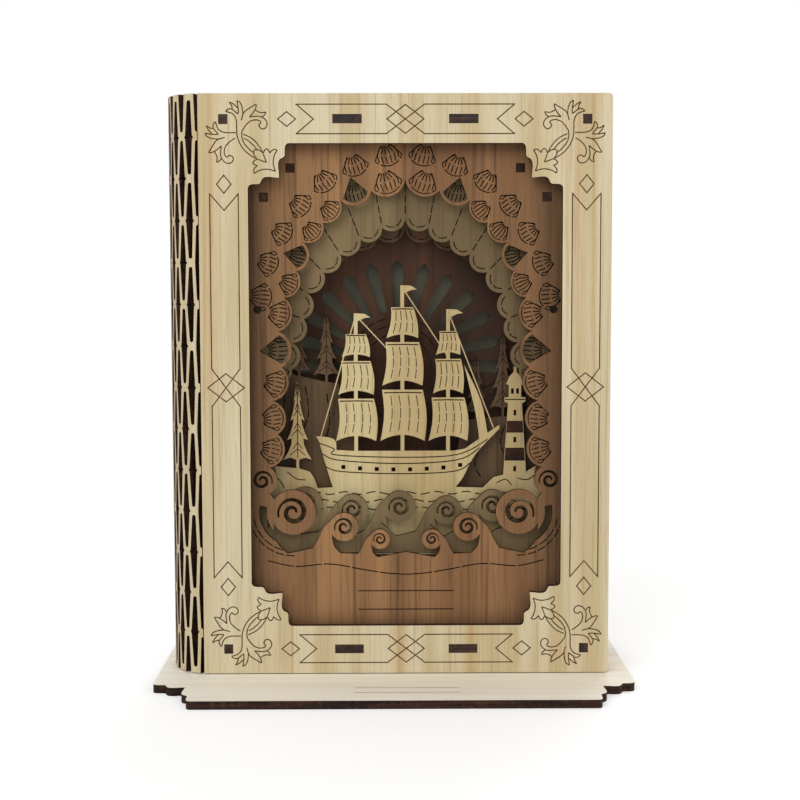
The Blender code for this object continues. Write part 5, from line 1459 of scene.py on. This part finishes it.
# Diffuser: one sheet of frosted acrylic behind the picture. It stays as the CAD model has it.
ACRYLIC = (88, 85, 66)
ACRYLIC_DARK = (64, 62, 48)
HAZE_SCALE, HAZE_SPAN = 45.0, (0.35, 0.65)
PAINTED_GLOW = 0.08
ACRYLIC_ROUGHNESS = 0.62


def frosted_finish():
    """Milky grey-green, with a faint painted glow for room light coming in through the box."""
    made, tree, shader = new_material("frosted_acrylic")
    haze = node(tree, "ShaderNodeTexNoise", {"Vector": node(tree, "ShaderNodeTexCoord")["Object"],
                                             "Scale": HAZE_SCALE, "Detail": 2.0})[0]
    colour = mixed(tree, graded(tree, haze, *HAZE_SPAN), linear(*ACRYLIC), linear(*ACRYLIC_DARK))
    tree.links.new(colour, shader.inputs["Base Color"])
    tree.links.new(colour, shader.inputs["Emission Color"])
    # Painted light: the acrylic glows faintly, though nothing behind it is lit
    shader.inputs["Emission Strength"].default_value = PAINTED_GLOW
    shader.inputs["Roughness"].default_value = ACRYLIC_ROUGHNESS
    return made


refinish("diffuser_panel", frosted_finish())


# Pegs: six square rods that string the picture sheets together. Their sawn ends, which show in
# the window's upper corners, are scorched a dark red-brown.
peg_finish = charred("scorched_peg", Y)
for part in PEG_NAMES:
    refinish(part, peg_finish)


# Rear board and back cover: plain 3 mm basswood boards with upright grain. The first closes the
# box and frames the battery tray, and the second swings on the spine and is held by magnets.
TRAY_WALL = 1.5 * MM
ROUND_STEPS = 40
rear_low, rear_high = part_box("rear_board")
back_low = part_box("back_cover")[0]
tray_low, tray_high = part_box("battery_tray")


def disc_hole(part):
    """A through hole round a magnet, with a hair of room."""
    low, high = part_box(part)
    radius = (high.x - low.x) / 2 + SAW_ROOM
    return (GAP, arc(on_sheet(part), radius, 0.0, math.tau, ROUND_STEPS)[:-1])


rear_size = rear_high - rear_low
tray_size = tray_high - tray_low
tray_window = rectangle(on_sheet("battery_tray"), tray_size.x - 2 * TRAY_WALL,
                        tray_size.z - 2 * TRAY_WALL)
rear_shapes = [(BOARD, rectangle((0, 0), rear_size.x, rear_size.z)), (GAP, tray_window),
               disc_hole("board_magnet_lower"), disc_hole("board_magnet_upper")]
rear_shapes += [(GAP, hole) for hole in tenon_holes()]
rear_board = finished(
    laser_cut(rear_shapes, PLY), "rear_board_sheet", facing(BOOK_SHIFT, rear_low.y, PICTURE_Z),
    [FACING_BOARD, CHARRED[Y]],
)
in_place_of(rear_board, "rear_board")

back_shapes = [(BOARD, cover_outline(COVER_HALF_WIDTH, COVER_HALF_HEIGHT)),
               disc_hole("cover_magnet_lower"), disc_hole("cover_magnet_upper")]
back_cover = finished(
    laser_cut(back_shapes, PLY), "back_cover_board", facing(BOOK_SHIFT, back_low.y, PICTURE_Z),
    [FACING_BOARD, CHARRED[Y]],
)
in_place_of(back_cover, "back_cover", "back_cover")


# Magnets: four nickel-plated discs with a small rounded edge, pressed into the two boards.
DISC_EDGE = 0.25 * MM
DISC_TURN = 0.3 * DISC_EDGE
SPECK_SPAN = (0.35, 0.65)


def turned(form, profile, foot, along, finish=0):
    """Spins (radius, distance) points round an axis that starts at its foot."""
    before = set(form.faces)
    foot, along = Vector(foot), Vector(along)
    aside = along.orthogonal().normalized()
    spots = [form.verts.new(foot + along * run + aside * reach) for reach, run in profile]
    edges = [form.edges.new(pair) for pair in zip(spots, spots[1:])]
    bmesh.ops.spin(form, geom=[*spots, *edges], cent=foot, axis=along, angle=math.tau,
                   steps=ROUND_STEPS, use_merge=True)
    bmesh.ops.remove_doubles(form, verts=form.verts, dist=WELD)
    for face in form.faces:
        if face not in before:
            face.material_index = finish


def plain_finish(name, tone, other_tone, scale, roughness, metallic=0.0, relief=0.0):
    """A moulded or plated surface: two near tones in a fine noise, and a little grain."""
    made, tree, shader = new_material(name)
    place = node(tree, "ShaderNodeTexCoord")["Object"]
    speck = node(tree, "ShaderNodeTexNoise", {"Vector": place, "Scale": scale, "Detail": 3.0})[0]
    colour = mixed(tree, graded(tree, speck, *SPECK_SPAN), linear(*tone), linear(*other_tone))
    tree.links.new(colour, shader.inputs["Base Color"])
    shader.inputs["Roughness"].default_value = roughness
    shader.inputs["Metallic"].default_value = metallic
    if relief:
        bump = node(tree, "ShaderNodeBump", {"Height": speck, "Strength": relief,
                                             "Distance": RELIEF_DEPTH})[0]
        tree.links.new(bump, shader.inputs["Normal"])
    return made


NICKEL = plain_finish("nickel", (196, 194, 188), (178, 176, 170), 900.0, 0.3, metallic=1.0)
for part in ("board_magnet_lower", "board_magnet_upper", "cover_magnet_lower",
             "cover_magnet_upper"):
    low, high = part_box(part)
    radius, length = (high.x - low.x) / 2, high.y - low.y
    profile = [(0.0, 0.0), (radius - DISC_EDGE, 0.0), (radius - DISC_TURN, DISC_TURN),
               (radius, DISC_EDGE), (radius, length - DISC_EDGE),
               (radius - DISC_TURN, length - DISC_TURN), (radius - DISC_EDGE, length),
               (0.0, length)]
    form = bmesh.new()
    turned(form, profile, ((low.x + high.x) / 2, low.y, (low.z + high.z) / 2), (0, 1, 0))
    magnet = finished(form, f"{part}_disc", Matrix.Identity(4), [NICKEL])
    in_place_of(magnet, part, "back_cover" if "cover" in part else "root")


# Battery tray, its lid and the switch: moulded black plastic with a fine grain, and a steel
# switch body. The lid has softened edges and four grip ribs. The tray and the switch body stay
# as the CAD model has them.
LID_BEVEL = 0.25 * MM
RIB = (0.9 * MM, 0.45 * MM, 12.0 * MM)
RIBS = 4
RIB_START, RIB_PITCH = 3.0 * MM, 2.0 * MM
KNOB_RIBS = 3
KNOB_EDGE = 0.3 * MM
KNOB_RIB_HALF = 0.2 * MM
KNOB_RIB_EDGE = 0.1 * MM
BLACK_PLASTIC = plain_finish("black_plastic", (34, 34, 36), (26, 26, 28), 1600.0, 0.48, relief=0.3)


def block(form, low, high, bevel=0.0, finish=0):
    """A box between two corners with its edges rounded."""
    verts = bmesh.ops.create_cube(form, size=1.0)["verts"]
    low, high = Vector(low), Vector(high)
    bmesh.ops.scale(form, vec=high - low, verts=verts)
    bmesh.ops.translate(form, vec=(low + high) / 2, verts=verts)
    for face in {face for vert in verts for face in vert.link_faces}:
        face.material_index = finish
    if bevel:
        edges = list({edge for vert in verts for edge in vert.link_edges})
        bmesh.ops.bevel(form, geom=edges, offset=bevel, segments=3, profile=0.5, affect="EDGES",
                        material=-1)


refinish("battery_tray", BLACK_PLASTIC)
lid_low, lid_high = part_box("battery_lid")
form = bmesh.new()
block(form, lid_low, (lid_high.x, lid_high.y - RIB[1] / 2, lid_high.z), LID_BEVEL)
for number in range(RIBS):
    rib_left = lid_low.x + RIB_START + RIB_PITCH * number
    middle_z = (lid_low.z + lid_high.z) / 2
    block(form, (rib_left, lid_high.y - RIB[1], middle_z - RIB[2] / 2),
          (rib_left + RIB[0], lid_high.y, middle_z + RIB[2] / 2), RIB[1] / 3)
lid = finished(form, "battery_lid_cover", Matrix.Identity(4), [BLACK_PLASTIC])
in_place_of(lid, "battery_lid", "battery_lid")

knob_low, knob_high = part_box("switch_knob")
form = bmesh.new()
block(form, knob_low, knob_high - Vector((0, KNOB_EDGE, 0)), KNOB_EDGE)
for number in range(KNOB_RIBS):
    level = knob_low.z + (knob_high.z - knob_low.z) * (number + 1) / (KNOB_RIBS + 1)
    block(form, (knob_low.x + KNOB_EDGE, knob_high.y - 2 * KNOB_EDGE, level - KNOB_RIB_HALF),
          (knob_high.x - KNOB_EDGE, knob_high.y, level + KNOB_RIB_HALF), KNOB_RIB_EDGE)
knob = finished(form, "switch_knob_cap", Matrix.Identity(4), [BLACK_PLASTIC])
in_place_of(knob, "switch_knob", "switch_knob")
SWITCH_STEEL = plain_finish("switch_steel", (172, 172, 170), (150, 150, 148), 700.0, 0.35,
                            metallic=1.0)
refinish("switch_body", SWITCH_STEEL)


# Cells: two AAA cells, head to tail. A printed film shrinks round each steel can, green with a
# copper band at the positive end.
CELL_FINISHES = [
    plain_finish("can_steel", (205, 204, 200), (188, 187, 182), 500.0, 0.32, metallic=1.0),
    plain_finish("green_film", (44, 74, 56), (38, 66, 50), 300.0, 0.3),
    plain_finish("copper_film", (176, 112, 70), (160, 100, 62), 300.0, 0.3, metallic=0.8),
]
GREEN_FILM, COPPER_FILM = 1, 2
BAND_SHARE = 0.74
FILM_SHARE = 0.88
NUB_RADIUS, NUB_RISE, NUB_EDGE = 1.9 * MM, 1.2 * MM, 0.3 * MM
NUB_FOOT = 0.1 * MM

# The can's edge, as shares of its radius: how far each spot is above the foot, then how far
# below the shoulder, where the steel sinks round the nub
CELL_FOOT = ((0.0, 0.15 * MM), (0.55, 0.15 * MM), (0.62, 0.0), (0.90, 0.0), (0.97, 0.10 * MM),
             (1.0, 0.40 * MM))
CELL_SHOULDER = ((1.0, 0.55 * MM), (0.97, 0.15 * MM), (0.90, 0.0), (0.80, 0.0),
                 (0.77, 0.35 * MM))
NUB_SEAT = (1.3 * NUB_RADIUS, 0.35 * MM)

for part, side in (("battery_cell_upper", 1), ("battery_cell_lower", -1)):
    low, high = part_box(part)
    radius, length = (high.z - low.z) / 2, high.x - low.x
    body = length - NUB_RISE
    profile = [(share * radius, above) for share, above in CELL_FOOT]
    profile.append((radius, BAND_SHARE * body))
    profile += [(share * radius, body - below) for share, below in CELL_SHOULDER]
    profile += [(NUB_SEAT[0], body - NUB_SEAT[1]), (NUB_RADIUS, body - NUB_FOOT),
                (NUB_RADIUS, length - NUB_EDGE), (NUB_RADIUS - NUB_EDGE, length), (0.0, length)]
    foot = Vector((low.x if side > 0 else high.x, (low.y + high.y) / 2, (low.z + high.z) / 2))
    form = bmesh.new()
    turned(form, profile, foot, (side, 0, 0))
    for face in form.faces:
        spots = [vert.co - foot for vert in face.verts]
        reach = min(math.hypot(spot.y, spot.z) for spot in spots)
        run = max(abs(spot.x) for spot in spots)
        if reach > FILM_SHARE * radius:
            banded = run > BAND_SHARE * body + WELD
            face.material_index = COPPER_FILM if banded else GREEN_FILM
    cell = finished(form, f"{part}_can", Matrix.Identity(4), CELL_FINISHES)
    in_place_of(cell, part)


# Contact plates: nickel-plated spring steel at each end of the cells. Each carries a coned coil
# spring for one cell's foot and a pressed button for the other's nub.
PLATE = 0.4 * MM
COIL_RADII = (3.0 * MM, 1.2 * MM)
COIL_WIRE = 0.26 * MM
COIL_TURNS = 3.5
COIL_STEPS = 84
COIL_SIDES = 10
BUTTON_RISE = 1.0 * MM
BUTTON = ((2.3 * MM, -0.1 * MM), (2.2 * MM, 0.15 * MM), (1.75 * MM, 0.3 * MM),
          (1.6 * MM, 0.8 * MM), (1.3 * MM, BUTTON_RISE), (0.0, BUTTON_RISE))
PLATE_EDGE = 0.12 * MM


def tube(form, route, radius, sides):
    """A round wire along a route, with closed ends."""
    run = [Vector(spot) for spot in route]
    aside = (run[1] - run[0]).orthogonal()
    rings = []
    for index, spot in enumerate(run):
        along = (run[min(index + 1, len(run) - 1)] - run[max(index - 1, 0)]).normalized()
        aside = (aside - along * aside.dot(along)).normalized()
        beside = along.cross(aside)
        rings.append([form.verts.new(spot + radius * (math.cos(math.tau * k / sides) * aside
                                                      + math.sin(math.tau * k / sides) * beside))
                      for k in range(sides)])
    for near, far in zip(rings, rings[1:]):
        for k in range(sides):
            form.faces.new((near[k - 1], near[k], far[k], far[k - 1]))
    form.faces.new(rings[0])
    form.faces.new(rings[-1])


upper_low, upper_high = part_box("battery_cell_upper")
lower_low, lower_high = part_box("battery_cell_lower")
cell_depth = (upper_low.y + upper_high.y) / 2
upper_level, lower_level = (upper_low.z + upper_high.z) / 2, (lower_low.z + lower_high.z) / 2
for part, side in (("contact_plate_left", 1), ("contact_plate_right", -1)):
    low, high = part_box(part)
    wall = low.x if side > 0 else high.x
    face_x = wall + side * PLATE
    coil_level, button_level = ((upper_level, lower_level) if side > 0
                                else (lower_level, upper_level))
    form = bmesh.new()
    block(form, (min(wall, face_x), low.y, low.z), (max(wall, face_x), high.y, high.z),
          PLATE_EDGE)
    rise = high.x - low.x - PLATE - 2 * COIL_WIRE
    coil = []
    for step in range(COIL_STEPS + 1):
        share = step / COIL_STEPS
        turn = math.tau * COIL_TURNS * share
        reach = COIL_RADII[0] + (COIL_RADII[1] - COIL_RADII[0]) * share
        coil.append((face_x + side * (COIL_WIRE + rise * share),
                     cell_depth + reach * math.cos(turn), coil_level + reach * math.sin(turn)))
    tube(form, coil, COIL_WIRE, COIL_SIDES)
    turned(form, BUTTON, (face_x, cell_depth, button_level), (side, 0, 0))
    plate = finished(form, f"{part}_spring", Matrix.Identity(4), [NICKEL])
    in_place_of(plate, part)


# Light strips: two white flexible boards on the rear board. Each has six light chips with a
# yellow lens, a resistor between neighbours and copper pads at its ends.
CHIPS = 6
CHIP = (3.5 * MM, 2.8 * MM)
CHIP_RISE = 1.0 * MM
LENS = (2.5 * MM, 1.9 * MM)
RESISTOR = (1.6 * MM, 0.9 * MM)
RESISTOR_RISE = 0.45 * MM
PAD = (1.8 * MM, 1.5 * MM)
PAD_RISE = 0.05 * MM
PAD_SHIFT = 2.0 * MM
LENS_PROUD = 0.08 * MM
SOLDERED = 0.1 * MM
STRIP_EDGE = 0.1 * MM
CHIP_EDGE = 0.08 * MM
STRIP_FINISHES = [
    plain_finish("strip_white", (232, 230, 220), (224, 222, 212), 400.0, 0.55),
    plain_finish("lens_yellow", (226, 196, 84), (214, 182, 72), 800.0, 0.35),
    plain_finish("resistor_black", (30, 30, 32), (24, 24, 26), 800.0, 0.4),
    plain_finish("pad_copper", (190, 124, 80), (172, 108, 68), 800.0, 0.35, metallic=1.0),
]
STRIP_WHITE, LENS_YELLOW, RESISTOR_BLACK, PAD_COPPER = range(len(STRIP_FINISHES))


def soldered(form, place, size, rise, finish, bevel=CHIP_EDGE):
    """A part on the strip's face, given by the middle of its foot."""
    across, up = size[0] / 2, size[1] / 2
    block(form, place - Vector((across, rise, up)), place + Vector((across, SOLDERED, up)),
          bevel, finish)


for part in ("led_strip_lower", "led_strip_upper"):
    low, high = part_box(part)
    face_y = low.y + CHIP_RISE
    level = (low.z + high.z) / 2
    pitch = (high.x - low.x) / CHIPS
    form = bmesh.new()
    block(form, (low.x, face_y, low.z), high, STRIP_EDGE)
    for number in range(CHIPS):
        place = Vector((low.x + pitch * (number + 0.5), face_y, level))
        soldered(form, place, CHIP, CHIP_RISE - LENS_PROUD, STRIP_WHITE)
        soldered(form, place, LENS, CHIP_RISE, LENS_YELLOW)
        if number:
            soldered(form, place - Vector((pitch / 2, 0, 0)), RESISTOR, RESISTOR_RISE,
                     RESISTOR_BLACK)
    for end_x in (low.x + PAD[0], high.x - PAD[0]):
        for shift in (-PAD_SHIFT, PAD_SHIFT):
            soldered(form, Vector((end_x, face_y, level + shift)), PAD, PAD_RISE, PAD_COPPER,
                     0.0)
    strip = finished(form, f"{part}_board", Matrix.Identity(4), STRIP_FINISHES)
    in_place_of(strip, part)


# Wires: soft red sheath. One comes up from the tray through the shelf's notch to the lower
# strip, and one joins the two strips.
WIRE_RADIUS = 0.8 * MM
WIRE_STEPS, WIRE_SIDES = 8, 14
WIRE_SIDE_ROOM = 14.5 * MM
WIRE_NOTCH_DEPTH = 5.0 * MM
WIRE_OUT = 6.0 * MM
WIRE_SWAY = 3.0 * MM
FIT_ROOM = 0.3 * MM
RED_SHEATH = plain_finish("red_sheath", (190, 40, 34), (176, 34, 30), 500.0, 0.42)

shelf_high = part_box("compartment_shelf")[1]
strip_low, strip_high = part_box("led_strip_lower")
top_strip_low, top_strip_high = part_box("led_strip_upper")
depth = rear_low.y - WIRE_NOTCH_DEPTH / 2 - FIT_ROOM
strip_depth = rear_low.y - FIT_ROOM - WIRE_RADIUS
wire_x = BOOK_SHIFT + WIRE_SIDE_ROOM - INNER_HALF
end_x = strip_low.x - FIT_ROOM
quarter = (strip_high.z - strip_low.z) / 4
low_level = strip_low.z + quarter
high_level = strip_high.z - quarter
top_level = (top_strip_low.z + top_strip_high.z) / 2
routes = {
    "wire_tray_to_strip": (
        (wire_x, depth, tray_high.z + FIT_ROOM), (wire_x, depth, shelf_high.z - PLY / 2),
        (wire_x - WIRE_SWAY / 2, depth, shelf_high.z + WIRE_SWAY),
        (end_x - WIRE_OUT, depth, (shelf_high.z + low_level) / 2),
        (end_x - WIRE_OUT, (depth + strip_depth) / 2, low_level - WIRE_SWAY),
        (end_x - WIRE_SWAY, strip_depth, low_level), (end_x, strip_depth, low_level)),
    "wire_strip_link": (
        (end_x, strip_depth, high_level), (end_x - WIRE_SWAY, strip_depth, high_level),
        (end_x - WIRE_OUT, strip_depth, high_level + WIRE_OUT),
        (end_x - WIRE_OUT, strip_depth, (high_level + top_level) / 2),
        (end_x - WIRE_OUT, strip_depth, top_level - WIRE_OUT),
        (end_x - WIRE_SWAY, strip_depth, top_level), (end_x, strip_depth, top_level)),
}
for part, route in routes.items():
    form = bmesh.new()
    tube(form, smooth(route, WIRE_STEPS), WIRE_RADIUS, WIRE_SIDES)
    wire = finished(form, f"{part}_sheath", Matrix.Identity(4), [RED_SHEATH])
    in_place_of(wire, part)
